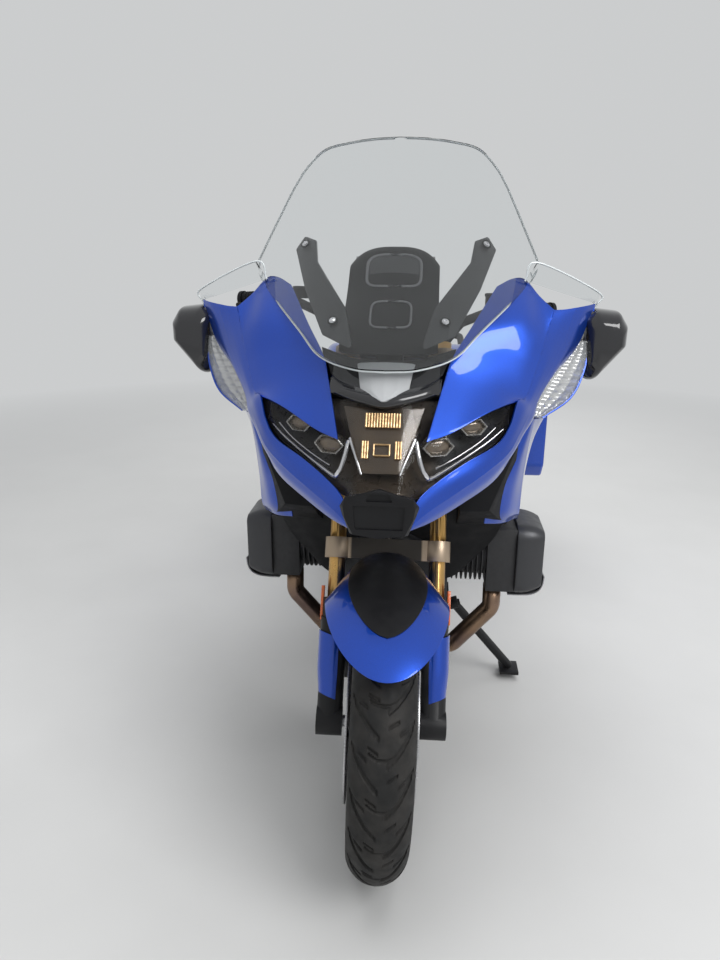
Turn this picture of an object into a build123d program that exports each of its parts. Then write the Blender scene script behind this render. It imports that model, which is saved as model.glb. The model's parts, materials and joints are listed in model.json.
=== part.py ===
"""Touring motorcycle: a fully faired boxer twin with shaft drive, on its centre stand.

Row frame in millimetres: +X is the rider's left, +Y runs to the tail, +Z is up, and the
origin lies on the floor below the middle of the machine. Pieces are modelled with their
distance behind the front axle, called s, in the place of Y, and are shifted when written.
"""
from build123d import *
import math
import os

# Overall layout
overall_length = 2222.0
wheelbase = 1485.0
rake_deg = 26.0
trail = 116.0
lock_deg = 32.0
steer_at_rest_deg = 4.0
rear_wheel_lift = 8.0
seat_gap = 0.3
running_gap = 5.0

# Wheels and tyres
front_tyre_radius = 300.0
front_tyre_width = 119.0
front_rim_width = 89.0
front_shoulder_drop = 38.0
rear_tyre_radius = 315.0
rear_tyre_width = 180.0
rear_rim_width = 140.0
rear_shoulder_drop = 54.0
rim_radius = 216.0
rim_lip = 8.0
rim_depth = 16.0
spoke_count = 10
spoke_root_width = 35.0
spoke_tip_width = 22.0
spoke_pair_deg = 11.0
spoke_thickness = 26.0
front_hub_radius = 38.0
front_hub_width = 132.0
rear_hub_radius = 52.0
rear_hub_width = 96.0
front_axle_radius = 12.0
rear_axle_radius = 25.0
axle_clearance = 0.4

# Brakes
front_disc_radius = 160.0
disc_thickness = 4.5
disc_band = 46.0
caliper_length = 92.0
caliper_depth = 40.0
caliper_wall = 12.0
caliper_bridge = 9.0
pad_clearance = 2.0
disc_edge_clearance = 3.0
caliper_angle_deg = 65.0
caliper_lug_low = 100.0
caliper_lug_high = 150.0
caliper_lug_reach = 24.0
caliper_lug_wall = 10.0

# Front fork
fork_half_spacing = 108.0
stanchion_radius = 17.5
slider_radius = 27.0
slider_top = 255.0
stanchion_bottom = 150.0
stanchion_top = 830.0
lower_bridge_at = 362.0
lower_bridge_height = 44.0
lower_bridge_depth = 30.0
top_bridge_at = 800.0
top_bridge_height = 24.0
top_bridge_depth = 44.0
bridge_wall = 10.0
ball_z = 655.0
ball_radius = 13.0
ball_housing_radius = 21.0
ball_stud_radius = 8.0
ball_stud_length = 31.0
ball_mouth_radius = 11.0
fork_cover_wall = 4.0
fork_cover_bottom = 34.0
fork_cover_top = 285.0
reflector_height = 72.0
reflector_width = 20.0

# Handlebars
grip_radius = 17.0
grip_end = (395.0, 610.0, 1112.0)
grip_inner = (275.0, 560.0, 1125.0)
bar_radius = 11.0

# Front mudguard
mudguard_wall = 3.0
mudguard_insert_rise = 2.0
mudguard_wheel_room = 17.0

# Engine and gearbox
engine_front = 345.0
engine_rear = 760.0
engine_half_width = 140.0
engine_bottom = 290.0
engine_top = 640.0
gearbox_bottom = 375.0
gearbox_from = 600.0
cylinder_height_z = 535.0
cylinder_stagger = 20.0
cylinder_middle_s = 425.0
cylinder_radius = 62.0
fin_radius = 78.0
fin_count = 7
fin_thickness = 3.0
head_inner_x = 232.0
head_outer_x = 300.0
head_size_s = 170.0
head_size_z = 176.0
cover_outer_x = 366.0
cover_taper = 16.0

# Exhaust
header_radius = 22.0
collector_height = 66.0
collector_front = 590.0
collector_rear = 735.0
silencer_front = 1130.0
silencer_rear = 1640.0
silencer_width = 112.0
silencer_height = 124.0
silencer_x = -232.0
silencer_front_z = 340.0
silencer_rear_z = 392.0

# Stands
centre_pivot_s = 872.0
centre_pivot_z = 238.0
centre_foot_s = 842.0
centre_half_span = 96.0
centre_foot_x = 165.0
centre_cross_z = 120.0
centre_pad_length = 44.0
centre_pad_width = 56.0
centre_pad_height = 21.0
stand_carrier_wall = 12.0
stand_tube_radius = 13.0
side_pivot = (172.0, 640.0, 262.0)
side_foot = (350.0, 690.0, 32.0)
side_foot_plate = 9.0
side_axis_tilt = 0.3
side_fold_deg = 78.0
stand_pin_radius = 8.0
stand_eye_radius = 18.0
stand_eye_width = 24.0
bracket_wall = 12.0

# Drive and rear suspension
swing_pivot_s = 742.0
swing_pivot_z = 430.0
swing_x = 132.0
swing_radius = 34.0
final_drive_radius = 86.0

# Front suspension arm
arm_pivot_x = 95.0
arm_pivot_gap = 18.0
arm_pivot_z = 560.0
arm_tube_radius = 12.0
arm_boss_radius = 15.0

# Bodywork
panel_wall = 4.0
screen_radius = 480.0
screen_lean_deg = 45.5
screen_wall = 4.0
screen_base_z = 1037.0
lens_depth = 26.0
lamp_length = 44.0
lamp_rim = 5.0
lamp_bowl_depth = 14.0
plate_recess = 5.0
plate_backing = 6.0
arm_thickness = 9.0
deflector_wall = 3.0
mirror_rim = 8.0
mirror_glass_thickness = 3.0
mirror_bracket_radius = 16.0
side_cover_wall = 4.0
side_cover_x = 148.0
side_cover_bow = 12.0

# Luggage
case_inner_x = 225.0
case_split_x = 372.0
case_outer_x = 488.0
case_front = 1185.0
case_rear = 1745.0
case_bottom = 480.0
case_top = 842.0
case_wall = 4.0
lid_open_deg = 50.0
lid_edge_round = 9.0
lid_panel_rise = 3.0
lid_panel_border = 46.0
lid_hinge_drop = 10.0
lid_hinge_radius = 7.0
lid_hinge_pin_radius = 3.5
lid_hinge_places = (1300.0, 1600.0)
lid_knuckle_width = 24.0
lid_knuckle_gap = 0.5
rack_hole_radius = 3.3
rack_hole_x = 120.0
rack_hole_length = 150.0
rack_hole_s = 1690.0

# Places that follow from the values above
front_axle_y = front_tyre_radius - overall_length / 2
front_axle = (0.0, 0.0, front_tyre_radius)
rear_axle = (0.0, wheelbase, rear_tyre_radius + rear_wheel_lift)
rear_end = overall_length - front_tyre_radius
rake_sin = math.sin(math.radians(rake_deg))
rake_cos = math.cos(math.radians(rake_deg))
fork_offset = front_tyre_radius * rake_sin - trail * rake_cos
steering_point = (0.0, fork_offset * rake_cos, front_tyre_radius - fork_offset * rake_sin)
steering_axis = Axis(steering_point, (0.0, rake_sin, rake_cos))

FRONT = Plane(origin=(0, 0, 0), x_dir=(1, 0, 0), z_dir=(0, -1, 0))
SIDE = Plane.YZ
PLAN = Plane.XY


def outline(plane, points, corner=0.0):
    """A flat face on a plane, with its corners rounded where a radius is given."""
    if corner > 0:
        return plane * make_face(FilletPolyline(*points, radius=corner, close=True))
    return plane * make_face(Polyline(*points, close=True))


def front_prism(points, s0, s1, corner=0.0):
    """Front-view outline of (x, z) points, solid from s0 to s1."""
    return Pos(0, s1, 0) * extrude(outline(FRONT, points, corner), amount=s1 - s0)


def side_prism(points, x0, x1, corner=0.0):
    """Side-view outline of (s, z) points, solid from x0 to x1."""
    return Pos(x0, 0, 0) * extrude(outline(SIDE, points, corner), amount=x1 - x0)


def plan_prism(points, z0, z1, corner=0.0):
    """Plan outline of (x, s) points, solid from z0 to z1."""
    return Pos(0, 0, z0) * extrude(outline(PLAN, points, corner), amount=z1 - z0)


def rod(start, end, radius):
    """A round bar between two points."""
    a = Vector(*start)
    b = Vector(*end)
    return Solid.make_cylinder(radius, (b - a).length, Plane(a, z_dir=b - a))


def pipe(points, radius, bend):
    """A round tube along straight runs joined by tangent arcs."""
    path = FilletPolyline(*points, radius=bend)
    return sweep(Plane(origin=path @ 0, z_dir=path % 0) * Circle(radius), path=path)


def other_side(shape):
    """The same piece on the rider's right."""
    return mirror(shape, about=Plane.YZ)


def both(shape):
    """A piece and its mirror image, as one shape with two solids."""
    return Compound(children=[*solids_of(shape), *solids_of(other_side(shape))])


def solids_of(shape):
    """The solids of a shape, without wrappers."""
    return list(shape.solids())


def group(*shapes):
    """Separate solids written as one node."""
    return Compound(children=[solid for shape in shapes for solid in solids_of(shape)])


def fork_point(x, along):
    """A point in the plane of the fork legs, a distance up from the axle."""
    return (x, along * rake_sin, front_tyre_radius + along * rake_cos)


def axis_point(z):
    """The point of the steering axis at a height."""
    return (0.0, steering_point[1] + (z - steering_point[2]) * rake_sin / rake_cos, z)


def spin_profile(points):
    """A closed (x, radius) outline turned about the wheel's axle."""
    return revolve(outline(FRONT, points), Axis.X)


# Wheels

def make_rim(rim_width, hub_radius, hub_width, bore_radius):
    """Cast wheel: barrel with lips, twin spokes and a bored hub, about the X axis."""
    half = rim_width / 2
    lip_x = half + rim_lip
    barrel = spin_profile([
        (-lip_x, rim_radius + rim_lip),
        (-half, rim_radius + rim_lip),
        (-half, rim_radius),
        (half, rim_radius),
        (half, rim_radius + rim_lip),
        (lip_x, rim_radius + rim_lip),
        (lip_x, rim_radius - rim_depth),
        (-lip_x, rim_radius - rim_depth),
    ])
    hub = Rot(0, 90, 0) * Cylinder(hub_radius, hub_width)
    reach = rim_radius - rim_depth / 2
    spoke = side_prism(
        [(-spoke_root_width / 2, hub_radius / 2), (spoke_root_width / 2, hub_radius / 2),
         (spoke_tip_width / 2, reach), (-spoke_tip_width / 2, reach)],
        -spoke_thickness / 2, spoke_thickness / 2)
    wheel = barrel + hub
    for i in range(spoke_count // 2):
        for side in (-1, 1):
            angle = 360.0 * i / (spoke_count // 2) + side * spoke_pair_deg
            wheel += Rot(angle, 0, 0) * spoke
    return wheel - Rot(0, 90, 0) * Cylinder(bore_radius + axle_clearance, hub_width + 2)


def make_tyre(radius, width, rim_width, shoulder_drop):
    """Tyre: round crown, bulged side walls and beads that seat between the rim's lips."""
    half = width / 2
    bead = rim_width / 2
    shoulder = (half * 0.96, radius - shoulder_drop)
    widest = (half, (rim_radius + rim_lip + radius - shoulder_drop) / 2)
    crown = ThreePointArc((-shoulder[0], shoulder[1]), (0, radius), shoulder)
    right_wall = ThreePointArc(shoulder, widest, (bead, rim_radius + rim_lip / 2))
    right_bead = Line((bead, rim_radius + rim_lip / 2), (bead, rim_radius))
    seat = Line((bead, rim_radius), (-bead, rim_radius))
    left_bead = Line((-bead, rim_radius), (-bead, rim_radius + rim_lip / 2))
    left_wall = ThreePointArc((-bead, rim_radius + rim_lip / 2), (-widest[0], widest[1]),
                              (-shoulder[0], shoulder[1]))
    profile = make_face([crown, right_wall, right_bead, seat, left_bead, left_wall])
    return revolve(FRONT * profile, Axis.X)


def make_disc(radius, inner_face_x, side):
    """Brake disc with its carrier, seated on the end of the hub."""
    band = radius - disc_band
    x0 = inner_face_x
    x1 = inner_face_x + disc_thickness
    disc = spin_profile([(x0, front_hub_radius * 0.5), (x1, front_hub_radius * 0.5),
                         (x1, radius), (x0, radius)])
    windows = [Rot(360.0 * i / 6, 0, 0) * Pos((x0 + x1) / 2, 0, (band + front_hub_radius) / 2)
               * (Rot(0, 90, 0) * Cylinder(17, disc_thickness * 3)) for i in range(6)]
    for window in windows:
        disc -= window
    return disc if side > 0 else other_side(disc)


# Front wheel
front_rim = make_rim(front_rim_width, front_hub_radius, front_hub_width, front_axle_radius)
front_tyre = make_tyre(front_tyre_radius, front_tyre_width, front_rim_width,
                       front_shoulder_drop) - front_rim
front_discs = group(*[make_disc(front_disc_radius, front_hub_width / 2, side)
                      for side in (-1, 1)])
front_spin = Pos(*front_axle)

# Rear wheel
rear_rim = make_rim(rear_rim_width, rear_hub_radius, rear_hub_width, rear_axle_radius)
rear_tyre = make_tyre(rear_tyre_radius, rear_tyre_width, rear_rim_width,
                      rear_shoulder_drop) - rear_rim
rear_spin = Pos(*rear_axle)

# Fork, bridges and front brakes
caliper_slot = disc_thickness + 2 * pad_clearance
caliper_mid_x = front_hub_width / 2 + disc_thickness / 2
caliper_outer_x = caliper_mid_x + caliper_slot / 2 + caliper_wall
caliper_outer_radius = front_disc_radius + disc_edge_clearance + caliper_bridge
caliper_mid_radius = caliper_outer_radius - caliper_depth / 2


def make_caliper_lug():
    """Plate on the left leg that the caliper's outer side is bolted to."""
    angle = math.radians(caliper_angle_deg)
    middle = (caliper_mid_radius * math.sin(angle),
              front_tyre_radius + caliper_mid_radius * math.cos(angle))
    along = (math.cos(angle) * caliper_lug_reach, -math.sin(angle) * caliper_lug_reach)
    points = [fork_point(0, caliper_lug_low)[1:], fork_point(0, caliper_lug_high)[1:],
              (middle[0] - along[0], middle[1] - along[1]),
              (middle[0] + along[0], middle[1] + along[1])]
    return side_prism(points, caliper_outer_x, caliper_outer_x + caliper_lug_wall)


def make_fork_leg(side):
    """Slider from the axle up, with a boss around the axle and the caliper's lug."""
    x = side * fork_half_spacing
    lug = make_caliper_lug()
    slider = rod(fork_point(x, -10), fork_point(x, slider_top), slider_radius)
    boss = Pos(x, 0, front_tyre_radius) * (Rot(0, 90, 0) * Cylinder(30, slider_radius * 2))
    leg = slider + boss + (lug if side > 0 else other_side(lug))
    bore = Pos(x, 0, front_tyre_radius) * (Rot(0, 90, 0) * Cylinder(front_axle_radius, 80))
    socket = rod(fork_point(x, stanchion_bottom), fork_point(x, slider_top + 1),
                 stanchion_radius)
    return leg - bore - socket


fork_sliders = group(*[make_fork_leg(side) for side in (-1, 1)])
fork_stanchions = group(*[
    rod(fork_point(side * fork_half_spacing, stanchion_bottom),
        fork_point(side * fork_half_spacing, stanchion_top), stanchion_radius)
    for side in (-1, 1)])
axle_length = 2 * (fork_half_spacing + slider_radius)
front_axle_rod = Pos(*front_axle) * (Rot(0, 90, 0) * Cylinder(front_axle_radius, axle_length))

bridge_plane_low = Plane(origin=fork_point(0, lower_bridge_at), x_dir=(1, 0, 0),
                         z_dir=(0, rake_sin, rake_cos))
bridge_plane_top = Plane(origin=fork_point(0, top_bridge_at), x_dir=(1, 0, 0),
                         z_dir=(0, rake_sin, rake_cos))


def make_bridge(plane, height, depth):
    """Clamp bridge across both legs, bored for the stanchions."""
    beam = Box(2 * fork_half_spacing, depth, height)
    for side in (-1, 1):
        beam += Pos(side * fork_half_spacing, 0, 0) * Cylinder(stanchion_radius + bridge_wall,
                                                              height)
    for side in (-1, 1):
        beam -= Pos(side * fork_half_spacing, 0, 0) * Cylinder(stanchion_radius, height + 2)
    return plane * beam


fork_bridge_low = make_bridge(bridge_plane_low, lower_bridge_height, lower_bridge_depth)
fork_bridge_top = make_bridge(bridge_plane_top, top_bridge_height, top_bridge_depth)

# Ball joint: a stud along the steering axis carries the ball above a lug of the bridge
ball_centre = axis_point(ball_z)
stud_foot = axis_point(ball_z - ball_stud_length * rake_cos)
ball_stud = Pos(*ball_centre) * Sphere(ball_radius) + rod(ball_centre, stud_foot,
                                                          ball_stud_radius)
lug_bottom = axis_point(ball_z - (ball_stud_length + 24.0) * rake_cos)
bridge_lug = rod(lug_bottom, stud_foot, ball_stud_radius + 5.0)
bridge_lug += rod(fork_point(0, lower_bridge_at), axis_point(
    ball_z - (ball_stud_length + 12.0) * rake_cos), 11.0)
fork_bridge_low = fork_bridge_low + bridge_lug + ball_stud
fork_bridges = group(fork_bridge_low, fork_bridge_top)


def make_bar(side):
    """One handlebar: riser from the top bridge, bar and grip."""
    root = fork_point(side * fork_half_spacing, stanchion_top + 2)
    knee = (side * 150.0, root[1] + 70.0, root[2] + 40.0)
    inner = (side * grip_inner[0], grip_inner[1], grip_inner[2])
    end = (side * grip_end[0], grip_end[1], grip_end[2])
    bar = pipe([root, knee, inner, end], bar_radius, 30.0)
    grip = rod(inner, end, grip_radius)
    return bar + grip


handlebars = group(make_bar(-1) - fork_stanchions, make_bar(1) - fork_stanchions)


def make_caliper(side):
    """Radial caliper behind the fork leg, with a slot that straddles the disc."""
    body = Pos(0, 0, caliper_mid_radius) * Box(caliper_slot + 2 * caliper_wall, caliper_length,
                                               caliper_depth)
    slot = Pos(0, 0, caliper_mid_radius - caliper_bridge) * Box(
        caliper_slot, caliper_length + 2, caliper_depth)
    shape = Pos(side * caliper_mid_x, 0, 0) * (body - slot)
    return Pos(*front_axle) * (Rot(-caliper_angle_deg, 0, 0) * shape)


brake_calipers = group(*[make_caliper(side) - fork_sliders for side in (-1, 1)])


# Sections of the front mudguard in planes through the axle: degrees ahead of the wheel's top,
# half width, crown radius and how far the edge lies below the crown
mudguard_sections = [
    (43, 30, 349, 8),
    (36, 72, 346, 16),
    (23, 106, 338, 26),
    (8, 119, 338, 40),
    (-9, 120, 345, 92),
    (-19, 108, 338, 78),
    (-30, 90, 328, 50),
    (-40, 82, 324, 36),
]
# Plan outline of the black insert on the crown, as (x, s) on the rider's left
insert_outline = [(0, -170), (38, -138), (68, -92), (78, -48), (74, 0), (60, 58), (40, 96), (0, 106)]


def make_mudguard_shell(grow, wall):
    """Arched shell over the tyre, grown outwards by a distance, as thick as a wall."""
    faces = []
    for angle, half, crown, drop in mudguard_sections:
        ahead = math.radians(angle)
        plane = Plane(origin=front_axle, x_dir=(1, 0, 0),
                      z_dir=(0, -math.cos(ahead), -math.sin(ahead)))
        edge = crown - drop
        outer = half + grow
        inner = outer - wall
        top = crown + grow
        faces.append(plane * make_face([
            ThreePointArc((-outer, edge), (0, top), (outer, edge)),
            Line((outer, edge), (inner, edge)),
            ThreePointArc((inner, edge), (0, top - wall), (-inner, edge)),
            Line((-inner, edge), (-outer, edge)),
        ]))
    return loft(faces)


def make_leg_cover(side):
    """Strip of the mudguard down the front of one fork leg."""
    x = side * fork_half_spacing
    strip = rod(fork_point(x, fork_cover_bottom), fork_point(x, fork_cover_top),
                slider_radius + fork_cover_wall)
    behind = Pos(x, 0, 0) * side_prism([(0, 300), (200, 300), (400, 900), (266, 900)], -60, 60)
    disc_room = Pos(*front_axle) * (Rot(0, 90, 0) * Cylinder(
        front_disc_radius + 6, 2 * (front_hub_width / 2 + disc_thickness + running_gap)))
    leg_room = rod(fork_point(x, 0), fork_point(x, fork_cover_top + 60), slider_radius)
    tyre_room = Pos(*front_axle) * (Rot(0, 90, 0) * Cylinder(
        front_tyre_radius + mudguard_wheel_room, front_tyre_width + 4 * running_gap))
    return strip - behind - disc_room - tyre_room - leg_room


def make_reflector(side):
    """Upright reflector on the outer side of a fork leg."""
    plane = Plane(origin=fork_point(side * (fork_half_spacing + slider_radius), slider_top - 12),
                  x_dir=(1, 0, 0), z_dir=(0, rake_sin, rake_cos))
    return plane * Box(7.0, reflector_width, reflector_height) - fork_sliders


reflectors = group(make_reflector(-1), make_reflector(1))

insert_zone = plan_prism(insert_outline + [(-x, s) for x, s in reversed(insert_outline[1:-1])],
                         520, 680)
front_mudguard = make_mudguard_shell(0.0, mudguard_wall) - insert_zone
front_mudguard = front_mudguard + make_leg_cover(1) + make_leg_cover(-1)
front_mudguard = front_mudguard - fork_sliders - fork_stanchions - reflectors - fork_bridges
mudguard_insert = make_mudguard_shell(mudguard_insert_rise, mudguard_wall + mudguard_insert_rise)
mudguard_insert = mudguard_insert & insert_zone

# Engine, cylinders and exhaust
engine_block = side_prism([
    (engine_front, engine_bottom + 40), (engine_front + 40, engine_bottom),
    (gearbox_from, engine_bottom), (gearbox_from + 20, gearbox_bottom),
    (engine_rear, gearbox_bottom), (engine_rear, engine_top - 60),
    (engine_rear - 60, engine_top), (engine_front + 50, engine_top),
    (engine_front, engine_top - 60)], -engine_half_width, engine_half_width)


def make_cylinder(side):
    """Finned barrel and head, standing out of the crankcase."""
    s = cylinder_middle_s - side * cylinder_stagger
    z = cylinder_height_z
    across = Rot(0, 90, 0)
    barrel_length = head_inner_x - engine_half_width
    middle = engine_half_width + barrel_length / 2
    shape = Pos(middle, s, z) * (across * Cylinder(cylinder_radius, barrel_length))
    pitch = barrel_length / (fin_count + 1)
    for i in range(fin_count):
        x = engine_half_width + pitch * (i + 1)
        shape += Pos(x, s, z) * (across * Cylinder(fin_radius, fin_thickness))
    head = Pos((head_inner_x + head_outer_x) / 2, s, z) * Box(
        head_outer_x - head_inner_x, head_size_s - 16, head_size_z - 16)
    shape += head
    return shape if side > 0 else other_side(shape)


def make_head_cover(side):
    """Rocker cover with tapered, rounded sides."""
    s = cylinder_middle_s - side * cylinder_stagger
    z = cylinder_height_z
    sections = []
    for x, inset in ((head_outer_x, 0.0), (head_outer_x + 34, 2.0), (cover_outer_x, cover_taper)):
        plane = Plane(origin=(x, s, z), x_dir=(0, 1, 0), z_dir=(1, 0, 0))
        sections.append(plane * RectangleRounded(head_size_s - 2 * inset,
                                                 head_size_z - 2 * inset, 34 - inset))
    shape = loft(sections)
    return shape if side > 0 else other_side(shape)


cylinders = group(make_cylinder(-1), make_cylinder(1))
head_covers = group(make_head_cover(-1), make_head_cover(1))
collector = side_prism([
    (collector_front, gearbox_bottom - 8 - collector_height),
    (collector_rear - 20, gearbox_bottom - 8 - collector_height),
    (collector_rear, gearbox_bottom - 8 - collector_height / 2),
    (collector_rear, gearbox_bottom - 8), (gearbox_from + 24, gearbox_bottom - 8),
    (collector_front, engine_bottom - 2)], -110.0, 70.0)


def make_header(side):
    """Header pipe from the head's lower face, in and back below the engine."""
    s = cylinder_middle_s - side * cylinder_stagger - 30
    x = side * (head_inner_x + 20)
    low = engine_bottom - header_radius - 14
    z_head = cylinder_height_z - (head_size_z - 16) / 2
    return pipe([(x, s, z_head), (x, s - 8, z_head - 60), (x * 0.62, s + 6, low + 20),
                 (side * 70, s + 60, low), (side * 60, collector_front + 20, low + 10)],
                header_radius, 34.0)


exhaust_headers = collector + make_header(-1) + make_header(1)
tail_pipe = pipe([(-80, collector_rear - 30, 335), (-90, 860, 335), (silencer_x, 1060, 330),
                  (silencer_x, silencer_front + 20, 345)], 26.0, 60.0)
exhaust_headers = (exhaust_headers + tail_pipe) - engine_block - cylinders


def make_silencer():
    """Silencer: a rounded body that rises to the rear, with an outlet."""
    sections = []
    for s, z, grow in ((silencer_front, silencer_front_z, -30.0),
                       (silencer_front + 90, silencer_front_z + 14, 0.0),
                       (silencer_rear - 60, silencer_rear_z - 8, 0.0),
                       (silencer_rear, silencer_rear_z, -26.0)):
        plane = Plane(origin=(silencer_x, s, z), x_dir=(1, 0, 0), z_dir=(0, 1, 0))
        sections.append(plane * RectangleRounded(silencer_width + grow, silencer_height + grow,
                                                 34 + grow / 4))
    return loft(sections) - exhaust_headers


silencer = make_silencer()

# Front suspension arm, from the crankcase to the housing of the ball joint
suspension_arm = Pos(*ball_centre) * Sphere(ball_housing_radius)
for arm_side in (-1, 1):
    foot = (arm_side * arm_pivot_x, engine_front - arm_pivot_gap, arm_pivot_z)
    suspension_arm += rod(ball_centre, foot, arm_tube_radius)
    suspension_arm += rod(foot, (foot[0], engine_front + 6, foot[2]), arm_boss_radius)
suspension_arm -= Pos(*ball_centre) * Sphere(ball_radius + seat_gap)
suspension_arm -= rod(ball_centre, axis_point(ball_z - 40.0), ball_mouth_radius)
suspension_arm = suspension_arm - engine_block

# Main frame: steering head, beams to the engine and tail tubes
head_low = axis_point(800.0)
head_high = axis_point(980.0)
main_frame = rod(head_low, head_high, 34.0)
for frame_side in (-1, 1):
    main_frame += rod(axis_point(880.0), (frame_side * 90, 560, engine_top - 4), 20.0)
    main_frame += rod(axis_point(820.0), (frame_side * 70, 430, engine_top - 4), 18.0)
    main_frame += pipe([(frame_side * 90, 540, 660), (frame_side * 120, 800, 715),
                        (frame_side * 120, 1250, 735), (frame_side * 105, 1700, 805)],
                       14.0, 60.0)
    main_frame += pipe([(frame_side * 110, 740, 600), (frame_side * 115, 900, 640),
                        (frame_side * 115, 1240, 733)], 12.0, 40.0)
main_frame += rod((-120, 900, 720), (120, 900, 720), 12.0)
main_frame += rod((-112, 1690, 804), (112, 1690, 804), 12.0)
main_frame += rod((-120, 1250, 735), (120, 1250, 735), 12.0)
main_frame += side_prism([(150, 872), (310, 872), (330, 930), (236, 960), (180, 1064), (150, 1064)],
                         -26.0, 26.0, 6.0)
main_frame = main_frame - engine_block

# Swingarm with the shaft housing and final drive on the rider's left
swing_start = (swing_x, swing_pivot_s + 30, swing_pivot_z)
swing_end = (swing_x, wheelbase, rear_axle[2])
swingarm = rod(swing_start, swing_end, swing_radius)
swingarm += Pos(swing_x, wheelbase, rear_axle[2]) * (Rot(0, 90, 0) * Cylinder(
    final_drive_radius, swing_radius * 1.8))
swingarm += rod((-60, swing_pivot_s + 30, swing_pivot_z), swing_start, 34.0)
swingarm += rod((swing_x, wheelbase, rear_axle[2]),
                (rear_hub_width / 2 + 2, wheelbase, rear_axle[2]), 40.0)
swingarm = swingarm - engine_block

# Fairing form. Columns: s, top centre z, then (x, z) of the cowl edge, the shoulder, the
# waist, the side and the lower edge, and the bottom centre z.
fairing_stations = [
    (-112, 846, (44, 846), (60, 836), (63, 815), (60, 796), (46, 766), 760),
    (-50, 936, (72, 936), (96, 926), (112, 886), (112, 836), (96, 764), 755),
    (0, 1004, (98, 994), (168, 956), (180, 912), (170, 848), (146, 760), 745),
    (80, 1050, (138, 1066), (238, 1008), (248, 964), (240, 860), (204, 752), 735),
    (160, 1094, (200, 1134), (312, 1084), (312, 1010), (284, 870), (240, 700), 690),
    (240, 1130, (268, 1182), (384, 1132), (380, 1054), (300, 880), (286, 660), 650),
    (310, 1140, (300, 1188), (420, 1141), (404, 1072), (306, 880), (292, 645), 640),
    (430, 1080, (262, 1130), (376, 1092), (362, 1030), (300, 880), (286, 645), 640),
    (640, 1000, (190, 1020), (262, 985), (272, 930), (262, 850), (242, 720), 700),
    (780, 930, (160, 950), (212, 915), (222, 880), (214, 830), (196, 750), 730),
]


def closed_points(row):
    """The whole symmetric (x, z) outline of one fairing station."""
    half = list(row[2:7])
    left = [(x, z) for x, z in half]
    right = [(-x, z) for x, z in reversed(half)]
    return [(0, row[1])] + left + [(0, row[7])] + right


def inset_points(points, distance):
    """A closed outline moved inwards by a distance, corner by corner."""
    area = sum(a[0] * b[1] - b[0] * a[1] for a, b in zip(points, points[1:] + points[:1]))
    turn = 1 if area > 0 else -1
    moved = []
    for i, point in enumerate(points):
        before = points[i - 1]
        after = points[(i + 1) % len(points)]
        normals = []
        for a, b in ((before, point), (point, after)):
            length = math.hypot(b[0] - a[0], b[1] - a[1])
            normals.append((-(b[1] - a[1]) / length * turn, (b[0] - a[0]) / length * turn))
        (ax, az), (bx, bz) = normals
        scale = distance / (1 + ax * bx + az * bz)
        moved.append((point[0] + (ax + bx) * scale, point[1] + (az + bz) * scale))
    return moved


def fairing_form(wall):
    """The fairing's whole form, moved inwards by a wall thickness."""
    faces = []
    for row in fairing_stations:
        s = row[0]
        if row is fairing_stations[0]:
            s += wall
        faces.append(Pos(0, s, 0) * outline(FRONT, inset_points(closed_points(row), wall)
                                            if wall > 0 else closed_points(row)))
    return loft(faces, ruled=True)


outer_form = fairing_form(0.0)
inner_form = fairing_form(panel_wall)
lens_back_form = Pos(0, lens_depth, 0) * inner_form
fairing_skin = outer_form - inner_form
nose_s = fairing_stations[0][0]
tail_s = fairing_stations[-1][0]

# Front-view split lines of the skin, as (x, z) on the rider's left
lens_outline = [(0, 850), (60, 834), (84, 850), (222, 892), (250, 972), (84, 930), (100, 996),
                (0, 1006)]
plate_outline = [(0, 850), (60, 834), (70, 815), (48, 755), (0, 750)]
indicator_outline = [(392, 1066), (282, 922), (256, 950), (340, 1066)]
blue_lower_line = [(48, 755), (60, 766), (184, 760), (262, 866), (330, 905), (460, 905)]


def cut_front(shape, points, s0=nose_s - 10, s1=tail_s + 10):
    """The part of a shape inside a front-view outline."""
    return shape & front_prism(points, s0, s1)


# Openings of the skin: the cockpit above, the wheel well below and the tail behind
cockpit_opening = plan_prism([(-96, 60), (96, 60), (196, 165), (262, 245), (292, 310), (255, 430),
                              (180, 640), (150, 800), (-150, 800), (-180, 640), (-255, 430),
                              (-292, 310), (-262, 245), (-196, 165)], 900, 1300)
wheel_opening = plan_prism([(-100, -60), (100, -60), (150, 60), (196, 160), (262, 300), (262, 430),
                            (222, 640), (190, 800), (-190, 800), (-222, 640), (-262, 430),
                            (-262, 300), (-196, 160), (-150, 60)], 600, 870)
open_skin = fairing_skin - cockpit_opening - wheel_opening
left_half = Pos(300, 300, 900) * Box(600, 1400, 900)
left_skin = open_skin & left_half

lens_region = front_prism(lens_outline, nose_s - 10, 150)
plate_region = front_prism(plate_outline, nose_s - 10, 0)
indicator_region = front_prism(indicator_outline, 100, 330)
blue_region = front_prism(blue_lower_line + [(460, 1300), (99, 1300), (99, 1000), (0, 1000),
                                             (0, 755)], nose_s - 10, tail_s + 10)
cowl_region = front_prism([(0, 1004), (99, 996), (99, 1300), (0, 1300)], nose_s - 10, 90)

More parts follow.
